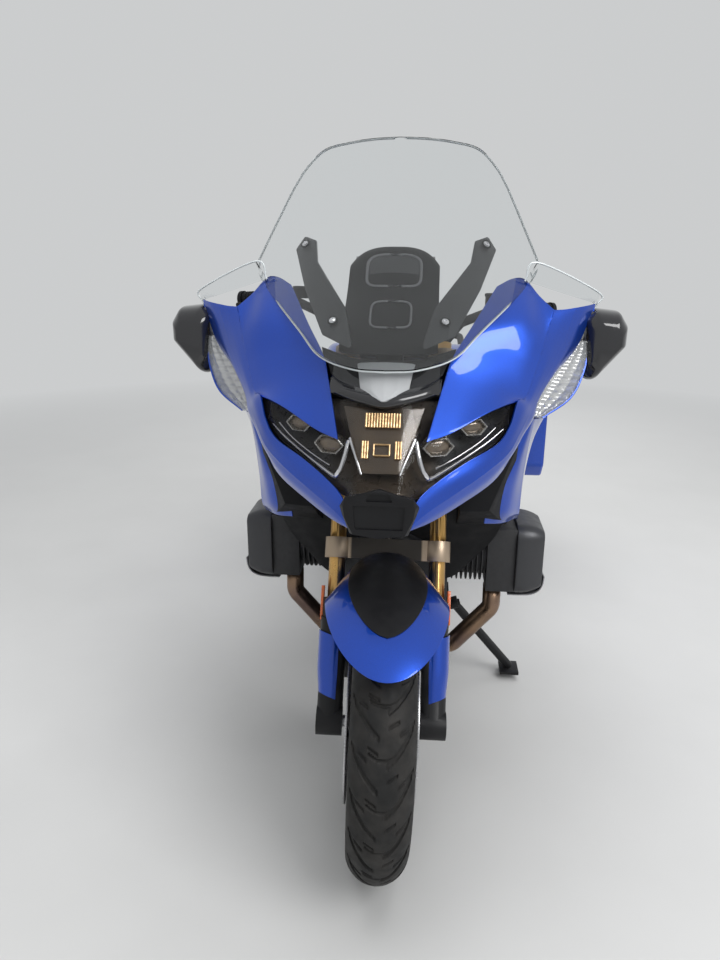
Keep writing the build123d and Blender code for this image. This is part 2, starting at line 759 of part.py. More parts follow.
lens_left = left_skin & lens_region
headlight_lens = lens_left + other_side(lens_left)
plate_left = left_skin & plate_region
nose_plate = plate_left + other_side(plate_left)
recess_outline = [(-42, 776), (42, 776), (46, 820), (-46, 820)]
slot_outline = [(-24, 828), (24, 828), (18, 842), (-18, 842)]
for opening in (recess_outline, slot_outline):
    backed = [(x + math.copysign(plate_backing, x), z) for x, z in opening]
    backing = inner_form - Pos(0, plate_backing, 0) * inner_form
    nose_plate += backing & front_prism(backed, nose_s, nose_s + 40, 3.0)
for opening in (recess_outline, slot_outline):
    pocket = outer_form - Pos(0, plate_recess, 0) * outer_form
    nose_plate -= pocket & front_prism(opening, nose_s - 10, nose_s + 40, 2.0)
indicator_left = left_skin & indicator_region
indicator_lenses = both(indicator_left)
body_left = left_skin - lens_region - plate_region - indicator_region - cowl_region
fairing_left = body_left & blue_region
side_left = (body_left - blue_region) & front_prism(
    [(100, 600), (460, 600), (460, 905), (330, 905), (262, 866), (184, 760), (100, 760)],
    nose_s, tail_s + 10)
cowl_left = (left_skin & cowl_region) - lens_region
front_cowl = cowl_left + other_side(cowl_left)

# Headlight housing behind the lens, clear of the fork's sweep
housing_region = front_prism([(0, 850), (60, 836), (84, 852), (220, 894), (246, 968), (84, 930),
                              (98, 994), (0, 1002)], nose_s, 150)
housing_left = lens_back_form & housing_region & left_half & side_prism(
    [(-200, 700), (110, 700), (150, 800), (190, 1100), (-200, 1100)], -10, 400)
headlight_housing = housing_left + other_side(housing_left)


def make_lamp(radius):
    """Hexagonal lamp tube with a bowl and a domed lens in it, facing along Z."""
    tube = extrude(RegularPolygon(radius, 6), lamp_length)
    bowl = Pos(0, 0, lamp_length - lamp_bowl_depth) * extrude(
        RegularPolygon(radius - lamp_rim, 6), lamp_bowl_depth + 1)
    dome = Pos(0, 0, lamp_length - lamp_bowl_depth - radius / 2) * Sphere(radius - lamp_rim - 2)
    return tube - bowl + (dome & tube)


lamps = []
for lamp_x, lamp_s, lamp_z, lamp_r in ((108, -36, 903, 30), (172, 26, 932, 26)):
    for lamp_side in (-1, 1):
        lamps.append(Plane(origin=(lamp_side * lamp_x, lamp_s + lamp_length, lamp_z),
                           x_dir=(1, 0, 0), z_dir=(0, -1, 0)) * make_lamp(lamp_r))
for lamp in lamps:
    headlight_housing += lamp
headlight_housing = (headlight_housing & inner_form) - main_frame

# Windscreen and its arms: pieces of upright cylinders that lean back
screen_outline = [(0, 1037), (60, 1040), (126, 1058), (176, 1099), (281, 1184), (300, 1224),
                  (235, 1378), (172, 1464), (60, 1482), (0, 1484)]
screen_tilt = Pos(0, 0, screen_base_z) * Rot(-screen_lean_deg, 0, 0)


def screen_shell(inner_offset, wall):
    """A leaning cylindrical sheet behind the screen's front face by an offset."""
    outer = screen_radius - inner_offset
    shell = Cylinder(outer, 1600) - Cylinder(outer - wall, 1602)
    return screen_tilt * (Pos(0, screen_radius, 0) * shell)


def symmetric(points):
    """A front-view outline completed by its mirror image."""
    return points + [(-x, z) for x, z in reversed(points) if x > 0]


screen_zone = front_prism(symmetric(screen_outline), -60, 560)
windscreen = (screen_shell(0, screen_wall) & screen_zone) - outer_form
arm_outline = [(63, 1068), (124, 1090), (173, 1169), (207, 1245), (190, 1271), (163, 1262),
               (154, 1220), (85, 1137), (66, 1078)]
arm_zone = front_prism(arm_outline, -60, 560, 5.0)
arm_left = screen_shell(screen_wall + seat_gap, arm_thickness) & arm_zone
screen_arms = both(arm_left)

# Dash, instrument and cockpit
dash = side_prism([(75, 1052), (150, 1060), (300, 1110), (348, 1240), (322, 1256), (250, 1180),
                   (90, 1068)], -94, 94)
instrument_panel = Plane(origin=(0, 338, 1178), x_dir=(1, 0, 0), z_dir=(0, 1, 0.42)) * Box(
    168, 108, 20)
dash = dash - instrument_panel - (screen_shell(0, screen_wall + 12) & screen_zone) - main_frame

# Wind deflectors
deflector_outer = Vector(430, 312, 1163)
deflector_inner = Vector(290, 262, 1224)
deflector_low = Vector(412, 310, 1118)
deflector_normal = (deflector_inner - deflector_outer).cross(deflector_low - deflector_outer)
deflector_sheet = Plane(origin=deflector_outer, z_dir=deflector_normal) * Box(
    500, 500, deflector_wall)
deflector_left = deflector_sheet & front_prism(
    [(290, 1224), (430, 1163), (426, 1138), (412, 1118), (325, 1131), (267, 1186)], 180, 340, 8.0)
wind_deflectors = both(deflector_left - outer_form)

# Mirrors below the grips: front-view outline, then rows of s and the outline's size there
mirror_outline = [(396, 1116), (420, 1130), (474, 1124), (492.0, 1096), (492.0, 1054), (424, 972),
                  (396, 1000)]
mirror_middle = (452.0, 1058.0)
mirror_corner = 14.0
mirror_rows = [(262, 0.55), (280, 0.86), (312, 1.0), (366, 0.99)]


def mirror_section(row_s, size):
    """The mirror's outline at a distance behind the axle, at a share of its full size."""
    points = [(mirror_middle[0] + (x - mirror_middle[0]) * size,
               mirror_middle[1] + (z - mirror_middle[1]) * size) for x, z in mirror_outline]
    return Pos(0, row_s, 0) * outline(FRONT, points, mirror_corner * size)


mirror_left = loft([mirror_section(row_s, size) for row_s, size in mirror_rows])
mirror_back = mirror_rows[-1][0]
glass_outline = inset_points(mirror_outline, mirror_rim)
mirror_left -= front_prism(glass_outline, mirror_back - 2 * mirror_glass_thickness,
                           mirror_back + 1, 6.0)
mirror_glass = front_prism(glass_outline, mirror_back - 2 * mirror_glass_thickness,
                           mirror_back - mirror_glass_thickness, 6.0)
mirror_left = mirror_left + rod((372, 300, 1060), (430, 320, 1050), mirror_bracket_radius)
mirrors = both(mirror_left - outer_form - indicator_left - deflector_left)
mirror_glasses = both(mirror_glass)


def loft_rows(rows, corner):
    """A body from rows of s, half-width, top z and bottom z, with rounded corners."""
    faces = []
    for s, half, top, bottom in rows:
        plane = Plane(origin=(0, s, (top + bottom) / 2), x_dir=(1, 0, 0), z_dir=(0, 1, 0))
        faces.append(plane * RectangleRounded(2 * half, top - bottom, corner))
    return loft(faces)


# Tank cover, seats and tail
tank_cover = loft_rows([(500, 178, 985, 800), (600, 192, 1012, 770), (730, 186, 985, 745),
                        (850, 120, 890, 745), (905, 90, 830, 750)], 30.0)
tank_cover = tank_cover - main_frame - fairing_left - other_side(fairing_left)
tail_cowl = loft_rows([(1180, 160, 762, 700), (1250, 165, 800, 700), (1450, 160, 820, 730),
                       (1700, 110, 862, 780), (1765, 84, 860, 806)], 24.0) - main_frame
passenger_seat = loft_rows([(1240, 128, 902, 785), (1300, 148, 926, 785),
                            (1480, 146, 932, 790), (1545, 112, 925, 800)], 28.0) - tail_cowl
rider_seat = loft_rows([(835, 84, 820, 738), (960, 140, 806, 735), (1100, 166, 804, 735),
                        (1190, 162, 830, 740), (1236, 150, 846, 770)], 28.0)
rider_seat = rider_seat - tail_cowl - tank_cover - passenger_seat - main_frame

# Covers of the frame below the rider seat, bowed outwards and carried by the tail cowl
cover_front = 740.0
cover_rear = 1238.0
cover_middle = (cover_front + cover_rear) / 2
cover_plan = make_face([
    ThreePointArc((side_cover_x, cover_front), (side_cover_x + side_cover_bow, cover_middle),
                  (side_cover_x, cover_rear)),
    Line((side_cover_x, cover_rear), (side_cover_x - side_cover_wall, cover_rear)),
    ThreePointArc((side_cover_x - side_cover_wall, cover_rear),
                  (side_cover_x + side_cover_bow - side_cover_wall, cover_middle),
                  (side_cover_x - side_cover_wall, cover_front)),
    Line((side_cover_x - side_cover_wall, cover_front), (side_cover_x, cover_front)),
])
side_cover = Pos(0, 0, 600) * extrude(cover_plan, 200) & side_prism(
    [(742, 700), (905, 655), (1120, 668), (1236, 704), (1236, 744), (1120, 732), (960, 731),
     (820, 740), (742, 742)], 100, 200, 10.0)
side_covers = both(side_cover - tail_cowl - rider_seat - tank_cover - main_frame)

luggage_rack = plan_prism([(-118, 1556), (118, 1556), (96, 1850), (-96, 1850)], 940, 956, 24)
for rack_side in (-1, 1):
    luggage_rack += rod((rack_side * 90, 1600, 830), (rack_side * 90, 1600, 945), 11.0)
    luggage_rack += rod((rack_side * 70, 1735, 840), (rack_side * 70, 1760, 945), 11.0)
    luggage_rack += pipe([(rack_side * 150, 1250, 780), (rack_side * 196, 1300, 880),
                          (rack_side * 190, 1480, 940), (rack_side * 100, 1600, 946)],
                         12.0, 30.0)
for hole_x in (-rack_hole_x / 2, rack_hole_x / 2):
    for hole_s in (rack_hole_s - rack_hole_length / 2, rack_hole_s + rack_hole_length / 2):
        luggage_rack -= Pos(hole_x, hole_s, 948) * Cylinder(rack_hole_radius, 40)
luggage_rack = luggage_rack - tail_cowl - passenger_seat - main_frame
rear_lamp = loft_rows([(1745, 78, 856, 812), (1798, 70, 850, 818)], 14.0) - tail_cowl
rear_mudguard = side_prism([(1700, 800), (1740, 800), (rear_end, 560), (rear_end - 8, 548),
                            (1690, 775)], -92, 92, 4.0) - tail_cowl - main_frame - rear_lamp

# Panniers with lids that open outwards
case_side = [(case_front + 40, case_bottom), (case_rear - 70, case_bottom),
             (case_rear, case_bottom + 110), (case_rear, case_top - 60),
             (case_rear - 60, case_top), (case_front + 70, case_top),
             (case_front, case_top - 70), (case_front, case_bottom + 50)]


def case_half(x0, x1, open_at_x0):
    """A hollow half-box of the case outline, open on one side."""
    solid = side_prism(case_side, x0, x1, 26.0)
    hollow_points = inset_points([tuple(p) for p in case_side], case_wall)
    if open_at_x0:
        hollow = side_prism(hollow_points, x0 - 1, x1 - case_wall, 24.0)
    else:
        hollow = side_prism(hollow_points, x0 + case_wall, x1 + 1, 24.0)
    return solid - hollow


pannier_left = case_half(case_inner_x, case_split_x - seat_gap, False)
lid_left = case_half(case_split_x, case_outer_x, True)
lid_face = lid_left.faces().sort_by(Axis.X)[-1]
lid_left = fillet(lid_face.edges(), lid_edge_round)
lid_left += side_prism(inset_points(case_side, lid_panel_border), case_outer_x - 1,
                       case_outer_x + lid_panel_rise, 20.0)
hinge_z = case_bottom - lid_hinge_drop


def hinge_knuckle(s, width, side):
    """A knuckle on the lid's hinge line, with a tab up to the case (-1) or lid (1)."""
    barrel = Pos(case_split_x, s, hinge_z) * (Rot(90, 0, 0) * Cylinder(lid_hinge_radius, width))
    tab = Pos(case_split_x + side * lid_hinge_radius * 1.5, s, hinge_z + lid_hinge_drop / 2) * Box(
        lid_hinge_radius * 3, width, lid_hinge_drop)
    free = Pos(case_split_x, s, hinge_z + lid_hinge_drop) * Box(
        4 * seat_gap, width + 2, 2 * (lid_hinge_drop - lid_hinge_radius))
    return barrel + tab - free


for hinge_s in lid_hinge_places:
    pin = Pos(case_split_x, hinge_s, hinge_z) * (Rot(90, 0, 0) * Cylinder(
        lid_hinge_pin_radius, 2 * lid_knuckle_width))
    bore = Pos(case_split_x, hinge_s, hinge_z) * (Rot(90, 0, 0) * Cylinder(
        lid_hinge_pin_radius + axle_clearance, 4 * lid_knuckle_width))
    lid_left += hinge_knuckle(hinge_s, lid_knuckle_width, 1) - bore
    for end in (-1, 1):
        end_s = hinge_s + end * (0.75 * lid_knuckle_width + lid_knuckle_gap)
        pannier_left += hinge_knuckle(end_s, lid_knuckle_width / 2, -1)
    pannier_left += pin
for bracket_s in (1330.0, 1600.0):
    bracket = rod((100, bracket_s, 736 + (bracket_s - 1250) * 0.155),
                  (case_inner_x, bracket_s, 736 + (bracket_s - 1250) * 0.155), 9.0)
    main_frame += bracket + other_side(bracket)
tail_cowl = tail_cowl - main_frame

# Footrests on plates beside the engine
footrests_left = side_prism([(720, 400), (790, 400), (850, 330), (830, 305), (700, 350)],
                            engine_half_width, engine_half_width + 10, 8.0)
footrests_left += rod((engine_half_width + 6, 815, 330), (272, 800, 326), 13.0)
footrests = both(footrests_left - swingarm - engine_block)

# Centre stand, deployed: its feet stand ahead of its pivot, so the load holds it on its stop
def centre_leg_point(z):
    """The point of the left leg's axis at a height."""
    share = (centre_pivot_z - z) / centre_pivot_z
    return (centre_half_span + (centre_foot_x - centre_half_span) * share,
            centre_pivot_s + (centre_foot_s - centre_pivot_s) * share, z)


stand_top = centre_leg_point(centre_pivot_z)
stand_toe = centre_leg_point(centre_pad_height)
stand_cross = centre_leg_point(centre_cross_z)
stand_half = rod(stand_top, stand_toe, stand_tube_radius)
stand_half += Pos(*stand_top) * (Rot(0, 90, 0) * Cylinder(stand_eye_radius, stand_eye_width))
stand_half += Pos(centre_foot_x, centre_foot_s, centre_pad_height / 2) * Box(
    centre_pad_width, centre_pad_length, centre_pad_height)
centre_stand = stand_half + other_side(stand_half)
centre_stand += rod((-stand_cross[0], stand_cross[1], stand_cross[2]), stand_cross,
                    stand_tube_radius)
pin_outer_x = centre_half_span + stand_eye_width / 2 + 6.0
centre_stand -= rod((-pin_outer_x - 1, centre_pivot_s, centre_pivot_z),
                    (pin_outer_x + 1, centre_pivot_s, centre_pivot_z),
                    stand_pin_radius + axle_clearance)
stand_pin = rod((-pin_outer_x, centre_pivot_s, centre_pivot_z),
                (pin_outer_x, centre_pivot_s, centre_pivot_z), stand_pin_radius)
carrier_outer_x = centre_half_span - stand_eye_width / 2 - 2.0
carrier_plate = side_prism([(700, gearbox_bottom), (engine_rear, gearbox_bottom),
                            (engine_rear, gearbox_bottom + 40), (engine_rear + 26, gearbox_bottom + 40),
                            (centre_pivot_s + 18, centre_pivot_z + 8),
                            (centre_pivot_s + 10, centre_pivot_z - 16),
                            (centre_pivot_s - 14, centre_pivot_z - 14)],
                           carrier_outer_x - stand_carrier_wall, carrier_outer_x)
stand_carrier = carrier_plate + other_side(carrier_plate) + stand_pin
stand_carrier = stand_carrier - engine_block - exhaust_headers - swingarm

# Side stand, swung out beside the engine, on a pin that leans up and out
side_axis = Vector(1, 0, side_axis_tilt).normalized()
side_plane_pivot = Plane(origin=side_pivot, x_dir=(0, 1, 0), z_dir=side_axis)
side_eye = side_plane_pivot * Cylinder(stand_eye_radius, stand_eye_width)
side_bore = side_plane_pivot * Cylinder(stand_pin_radius + axle_clearance, stand_eye_width * 2)
side_stand = rod(side_pivot, side_foot, stand_tube_radius) + side_eye
side_stand += Pos(side_foot[0], side_foot[1], side_foot[2] - 8) * Box(56, 66, side_foot_plate)
side_stand = side_stand - side_bore
pin_base = stand_eye_width / 2 + 30.0
pin_tip = stand_eye_width / 2 + 6.0
side_pin = side_plane_pivot * (Pos(0, 0, (pin_tip - pin_base) / 2) * Cylinder(
    stand_pin_radius, pin_tip + pin_base))
side_bracket = side_prism([(500, 300), (500, 352), (590, 352), (662, 290), (662, 236),
                           (622, 236), (560, 296)], engine_half_width,
                          engine_half_width + bracket_wall, 8.0)
side_bracket = side_bracket - (side_plane_pivot * Cylinder(stand_eye_radius + 3,
                                                           stand_eye_width + 2 * axle_clearance))
stand_carrier = group(stand_carrier, (side_bracket + side_pin) - engine_block)

# Rear axle and hub
rear_axle_rod = rod((swing_x, wheelbase, rear_axle[2]), (-rear_hub_width / 2, wheelbase,
                                                        rear_axle[2]), rear_axle_radius)
rear_axle_rod = rear_axle_rod - swingarm

# Fit the neighbours of the fairing to it
inner_fairing = side_prism([(90, 700), (190, 660), (300, 650), (300, 900), (240, 1000),
                            (150, 960), (110, 860)], 150, 260)
inner_fairing = inner_fairing & inner_form
inner_fairing = both(inner_fairing - cylinders - headlight_housing)

steered = {
    "fork_sliders": fork_sliders,
    "fork_stanchions": fork_stanchions,
    "fork_bridges": fork_bridges,
    "front_axle": front_axle_rod,
    "handlebars": handlebars,
    "front_mudguard": front_mudguard,
    "mudguard_insert": mudguard_insert,
    "brake_calipers": brake_calipers,
    "reflectors": reflectors,
    "front_tyre": front_spin * front_tyre,
    "front_rim": front_spin * front_rim,
    "front_discs": front_spin * front_discs,
}
fixed = {
    "main_frame": main_frame,
    "engine_block": engine_block,
    "cylinders": cylinders,
    "head_covers": head_covers,
    "exhaust_headers": exhaust_headers,
    "silencer": silencer,
    "suspension_arm": suspension_arm,
    "swingarm": swingarm,
    "rear_axle": rear_axle_rod,
    "stand_carrier": stand_carrier,
    "footrests": footrests,
    "fairing_left": fairing_left,
    "fairing_right": other_side(fairing_left),
    "side_panel_left": side_left,
    "side_panel_right": other_side(side_left),
    "inner_fairing": inner_fairing,
    "front_cowl": front_cowl,
    "nose_plate": nose_plate,
    "headlight_lens": headlight_lens,
    "headlight_housing": headlight_housing,
    "indicator_lenses": indicator_lenses,
    "windscreen": windscreen,
    "screen_arms": screen_arms,
    "wind_deflectors": wind_deflectors,
    "mirrors": mirrors,
    "mirror_glasses": mirror_glasses,
    "dash": dash,
    "instrument_panel": instrument_panel,
    "tank_cover": tank_cover,
    "rider_seat": rider_seat,
    "passenger_seat": passenger_seat,
    "tail_cowl": tail_cowl,
    "side_covers": side_covers,
    "luggage_rack": luggage_rack,
    "rear_lamp": rear_lamp,
    "rear_mudguard": rear_mudguard,
    "pannier_left": pannier_left,
    "pannier_right": other_side(pannier_left),
    "pannier_lid_left": lid_left,
    "pannier_lid_right": other_side(lid_left),
    "rear_tyre": rear_spin * rear_tyre,
    "rear_rim": rear_spin * rear_rim,
    "centre_stand": centre_stand,
    "side_stand": side_stand,
}

os.makedirs("parts", exist_ok=True)
for name, shape in steered.items():
    turned = shape.rotate(steering_axis, steer_at_rest_deg)
    export_step(Pos(0, front_axle_y, 0) * turned, f"parts/{name}.step")
for name, shape in fixed.items():
    export_step(Pos(0, front_axle_y, 0) * shape, f"parts/{name}.step")
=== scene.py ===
"""Touring motorcycle: the outer surfaces, finishes, seats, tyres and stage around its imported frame."""

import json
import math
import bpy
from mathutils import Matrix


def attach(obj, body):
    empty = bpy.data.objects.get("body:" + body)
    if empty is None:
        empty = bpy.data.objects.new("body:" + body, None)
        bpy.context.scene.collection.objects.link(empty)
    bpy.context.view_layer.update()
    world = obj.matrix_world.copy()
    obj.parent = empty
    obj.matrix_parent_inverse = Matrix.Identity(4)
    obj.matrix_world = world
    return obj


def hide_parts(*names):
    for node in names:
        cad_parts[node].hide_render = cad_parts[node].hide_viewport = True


bl_info = {
    "name": "Touring motorcycle",
    "version": (1, 0, 0),
    "blender": (4, 5, 0),
    "location": "View3D > Sidebar > Motorcycle",
    "description": "Builds the surfaces, soft parts and finishes of a fully faired touring motorcycle",
    "category": "Add Mesh",
}

import bmesh
import bpy
import numpy as np
from bpy.props import FloatProperty, FloatVectorProperty, IntProperty, PointerProperty
from mathutils import Matrix, Vector
from mathutils.bvhtree import BVHTree

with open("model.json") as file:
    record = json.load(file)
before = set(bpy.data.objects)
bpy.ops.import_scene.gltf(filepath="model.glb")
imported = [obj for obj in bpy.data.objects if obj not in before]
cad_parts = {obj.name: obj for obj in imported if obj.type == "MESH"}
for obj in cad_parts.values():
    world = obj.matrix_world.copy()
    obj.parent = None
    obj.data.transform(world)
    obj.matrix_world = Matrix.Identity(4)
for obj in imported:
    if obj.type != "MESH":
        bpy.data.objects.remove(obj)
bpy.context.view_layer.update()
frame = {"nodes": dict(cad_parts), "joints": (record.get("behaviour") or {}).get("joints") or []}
JOINTS = {joint["name"]: joint for joint in frame["joints"]}
WHEELBASE = 1.485
FRONT_AXLE_Y = JOINTS["rear_wheel_spin"]["pos_m"][1] - WHEELBASE
STEER_AT_REST = math.radians(4.0)


# Surfaces

def place(points):
    """Millimetres (x, distance behind the front axle, z) as metres in the shared frame."""
    points = np.asarray(points, float) / 1000.0
    return points + np.array([0.0, FRONT_AXLE_Y, 0.0])


def other_side(grid):
    """A grid mirrored to the rider's right, its columns turned round so its faces still point out."""
    return grid[:, ::-1] * np.array([-1.0, 1.0, 1.0])


def turned(points, centre, axis, angle):
    """Rodrigues' rotation of points about an axis through a centre."""
    axis = np.asarray(axis, float) / np.linalg.norm(axis)
    arm = points - np.asarray(centre, float)
    along = (arm @ axis)[..., None] * axis
    across = np.cross(np.broadcast_to(axis, arm.shape), arm)
    return centre + along + (arm - along) * math.cos(angle) + across * math.sin(angle)


def steered(points):
    """Points of the fork turned to where the bar stands at rest."""
    joint = JOINTS["steering"]
    return turned(points, np.array(joint["pos_m"]), joint["axis"], STEER_AT_REST)


def spline_weights(count, samples):
    """Weights that carry a smooth curve through a row of points: Catmull-Rom cubics, whose
    end tangents come from one mirrored point past each end."""
    t = np.linspace(0, count - 1, samples)
    first = np.minimum(t.astype(int), count - 2)
    f = t - first
    cubic = np.stack([(-f**3 + 2 * f**2 - f) / 2, (3 * f**3 - 5 * f**2 + 2) / 2,
                      (-3 * f**3 + 4 * f**2 + f) / 2, (f**3 - f**2) / 2], 1)
    wide = np.zeros((samples, count + 2))
    np.put_along_axis(wide, first[:, None] + np.arange(4), cubic, 1)
    weights = wide[:, 1:-1].copy()
    weights[:, 0] += 2 * wide[:, 0]
    weights[:, 1] -= wide[:, 0]
    weights[:, -1] += 2 * wide[:, -1]
    weights[:, -2] -= wide[:, -1]
    return weights


def straight_weights(count, samples):
    """Weights that carry straight lines through a row of points."""
    t = np.linspace(0, count - 1, samples)
    return np.clip(1.0 - np.abs(t[:, None] - np.arange(count)), 0.0, 1.0)


def patch(net, rows, columns, weights=spline_weights):
    """A surface through a net of points: splines, or straight lines, along both of its directions."""
    net = np.asarray(net, float)
    return np.einsum("ai,ijk,bj->abk", weights(net.shape[0], rows), net, weights(net.shape[1], columns))


def sheet(net, rows, columns, weights=spline_weights):
    """A surface through a net in millimetres, set in the shared frame."""
    return place(patch(net, rows, columns, weights))


def curve(points, samples):
    """A smooth curve through a row of points."""
    points = np.asarray(points, float)
    return spline_weights(len(points), samples) @ points


def tube(path, radius, sides):
    """A round bar along a path: at each point a ring square to the path, closed at both ends.
    The ring's first arm is kept near one fixed direction, so the bar doesn't twist."""
    path = np.asarray(path, float)
    radius = np.broadcast_to(np.asarray(radius, float), len(path))
    tangent = np.gradient(path, axis=0)
    tangent /= np.linalg.norm(tangent, axis=1, keepdims=True)
    span = np.abs(path[-1] - path[0])
    reference = np.eye(3)[int(np.argmin(span))]
    side = np.cross(tangent, reference)
    side /= np.linalg.norm(side, axis=1, keepdims=True)
    up = np.cross(side, tangent)
    angle = np.linspace(0, 2 * math.pi, sides, endpoint=False)
    ring = np.cos(angle)[None, :, None] * side[:, None] - np.sin(angle)[None, :, None] * up[:, None]
    body = path[:, None] + ring * radius[:, None, None]
    ends = np.repeat(path[[0, -1], None], sides, 1)
    return np.concatenate([ends[:1], body, ends[1:]])


def spun(profile, centre, axis, sides):
    """A profile of (along the axis, radius) turned about an axis through a centre."""
    profile = np.asarray(profile, float)
    axis = np.asarray(axis, float) / np.linalg.norm(axis)
    reference = np.eye(3)[int(np.argmin(np.abs(axis)))]
    first = np.cross(axis, reference)
    first /= np.linalg.norm(first)
    second = np.cross(axis, first)
    angle = np.linspace(0, 2 * math.pi, sides, endpoint=False)
    arm = np.cos(angle)[:, None] * first + np.sin(angle)[:, None] * second
    return (np.asarray(centre, float) + profile[:, 0, None, None] * axis
            + profile[:, 1, None, None] * arm[None])


def soft_step(value, low, high):
    """0 below low, 1 above high, and a smooth cubic between."""
    t = np.clip((value - low) / (high - low), 0.0, 1.0)
    return t * t * (3 - 2 * t)


def both_sides(grid):
    """A grid in metres and its mirror image."""
    return [grid, other_side(grid)]


def wide(half_net):
    """A net from the middle out, completed by its mirror image."""
    net = np.asarray(half_net, float)
    return np.concatenate([net[:, :0:-1] * np.array([-1.0, 1.0, 1.0]), net], 1)


# Meshes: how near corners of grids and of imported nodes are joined, in metres, and the angles up to
# which faces are one flat face, edges aren't rounded and shading is smooth
GRID_WELD, NODE_WELD = 1e-6, 2e-5
FLAT_DEG, BEVEL_DEG, SMOOTH_DEG = 0.6, 38.0, 32.0


def quads(rows, columns, closed, offset):
    """The corner numbers of a grid's faces; a closed grid's last column is joined to its first."""
    row = np.arange(rows - 1)[:, None]
    column = np.arange(columns if closed else columns - 1)[None]
    after = (column + 1) % columns
    corners = [row * columns + column, row * columns + after,
               (row + 1) * columns + after, (row + 1) * columns + column]
    faces = np.stack([np.broadcast_to(c, (rows - 1, column.shape[1])) for c in corners], -1)
    return faces.reshape(-1, 4) + offset


def new_object(name, mesh):
    """An object at the origin that shows a mesh."""
    piece = bpy.data.objects.new(name, mesh)
    bpy.context.scene.collection.objects.link(piece)
    return piece


def mesh_piece(name, grids, closed=False, wall=0.0, bevel=0.0, smooth_deg=SMOOTH_DEG):
    """A piece from grids of points, welded where they meet: either sheets that can get a wall, or
    closed forms whose faces are turned outwards. Its edges can be rounded."""
    shapes = [grid.shape[:2] for grid in grids]
    offsets = np.cumsum([0] + [rows * columns for rows, columns in shapes])
    faces = np.concatenate([quads(*shape, closed, start) for shape, start in zip(shapes, offsets)])
    mesh = bpy.data.meshes.new(name)
    mesh.from_pydata(np.concatenate([grid.reshape(-1, 3) for grid in grids]).tolist(), [], faces.tolist())
    shares = [np.meshgrid(*(np.linspace(0, 1, count) for count in shape), indexing="ij") for shape in shapes]
    grid_uv = np.concatenate([np.stack(share, -1).reshape(-1, 2) for share in shares])
    uv = mesh.uv_layers.new(name="along_across")
    uv.data.foreach_set("uv", grid_uv[faces.reshape(-1)].reshape(-1).astype(np.float32))
    piece = new_object(name, mesh)
    weld_mesh(mesh, GRID_WELD, closed)
    if wall:
        solid = piece.modifiers.new("wall", "SOLIDIFY")
        solid.thickness = wall
        solid.offset = -1.0
        solid.use_even_offset = True
    if bevel:
        add_bevel(piece, bevel)
    return finished_mesh(piece, smooth_deg)


def weld_mesh(mesh, distance, outward=False, flat_deg=0.0):
    """Joins corners that meet, drops faces without area and can turn all faces outwards."""
    work = bmesh.new()
    work.from_mesh(mesh)
    bmesh.ops.remove_doubles(work, verts=work.verts, dist=distance)
    bmesh.ops.dissolve_degenerate(work, edges=work.edges, dist=distance)
    if flat_deg:
        bmesh.ops.dissolve_limit(work, angle_limit=math.radians(flat_deg), verts=work.verts,
                                 edges=work.edges)
    if outward:
        bmesh.ops.recalc_face_normals(work, faces=work.faces)
    work.to_mesh(mesh)
    work.free()


def add_bevel(piece, width):
    """Rounds the edges that are sharper than an angle."""
    bevel = piece.modifiers.new("edges", "BEVEL")
    bevel.width = width
    bevel.segments = 2
    bevel.limit_method = "ANGLE"
    bevel.angle_limit = math.radians(BEVEL_DEG)


def as_shown(piece):
    """A new mesh of a piece with its modifiers."""
    return bpy.data.meshes.new_from_object(piece.evaluated_get(bpy.context.evaluated_depsgraph_get()))


def finished_mesh(piece, smooth_deg):
    """Applies the modifiers and shades smooth, apart from edges sharper than an angle."""
    if piece.modifiers:
        applied = as_shown(piece)
        piece.modifiers.clear()
        piece.data = applied
    piece.data.shade_smooth()
    piece.data.set_sharp_from_angle(angle=math.radians(smooth_deg))
    return piece


def welded_copy(node, ending, flat_deg=0.0):
    """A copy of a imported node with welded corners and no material."""
    mesh = frame["nodes"][node].data.copy()
    mesh.materials.clear()
    weld_mesh(mesh, NODE_WELD, flat_deg=flat_deg)
    return new_object(node + ending, mesh)


def refined(node, bevel):
    """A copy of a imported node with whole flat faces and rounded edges."""
    piece = welded_copy(node, "_finish", FLAT_DEG if bevel else 0.0)
    if bevel:
        add_bevel(piece, bevel)
    return finished_mesh(piece, SMOOTH_DEG)


def settle(piece, body, finish, stands_for=()):
    """Gives a piece its finish, its body and the nodes that it stands for."""
    piece.data.materials.clear()
    piece.data.materials.append(FINISHES[finish])
    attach(piece, body)
    if stands_for:
        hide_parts(*stands_for)


def build(name, grids, slot, finish, *stands_for, body="chassis", **form):
    """Makes a piece from grids and settles it; form is what mesh_piece takes besides."""
    settle(mesh_piece(name, grids, **form), body, finish, stands_for)


def points_of(mesh, attribute="co"):
    """The places of a mesh's corners, or their normals, as one array."""
    values = np.zeros(len(mesh.vertices) * 3)
    mesh.vertices.foreach_get(attribute, values)
    return values.reshape(-1, 3)


# Finishes

FINISHES = {}


def shader_node(tree, kind, *sources, operation=None, **values):
    """A new node: sources are linked to its sockets by number, a node by its first output, and the
    values are set on its sockets by name."""
    node = tree.nodes.new("ShaderNode" + kind)
    if operation:
        node.operation = operation
    for number, source in enumerate(sources):
        tree.links.new(getattr(source, "outputs", [source])[0], node.inputs[number])
    for socket, value in values.items():
        node.inputs[socket.replace("_", " ")].default_value = value
    return node


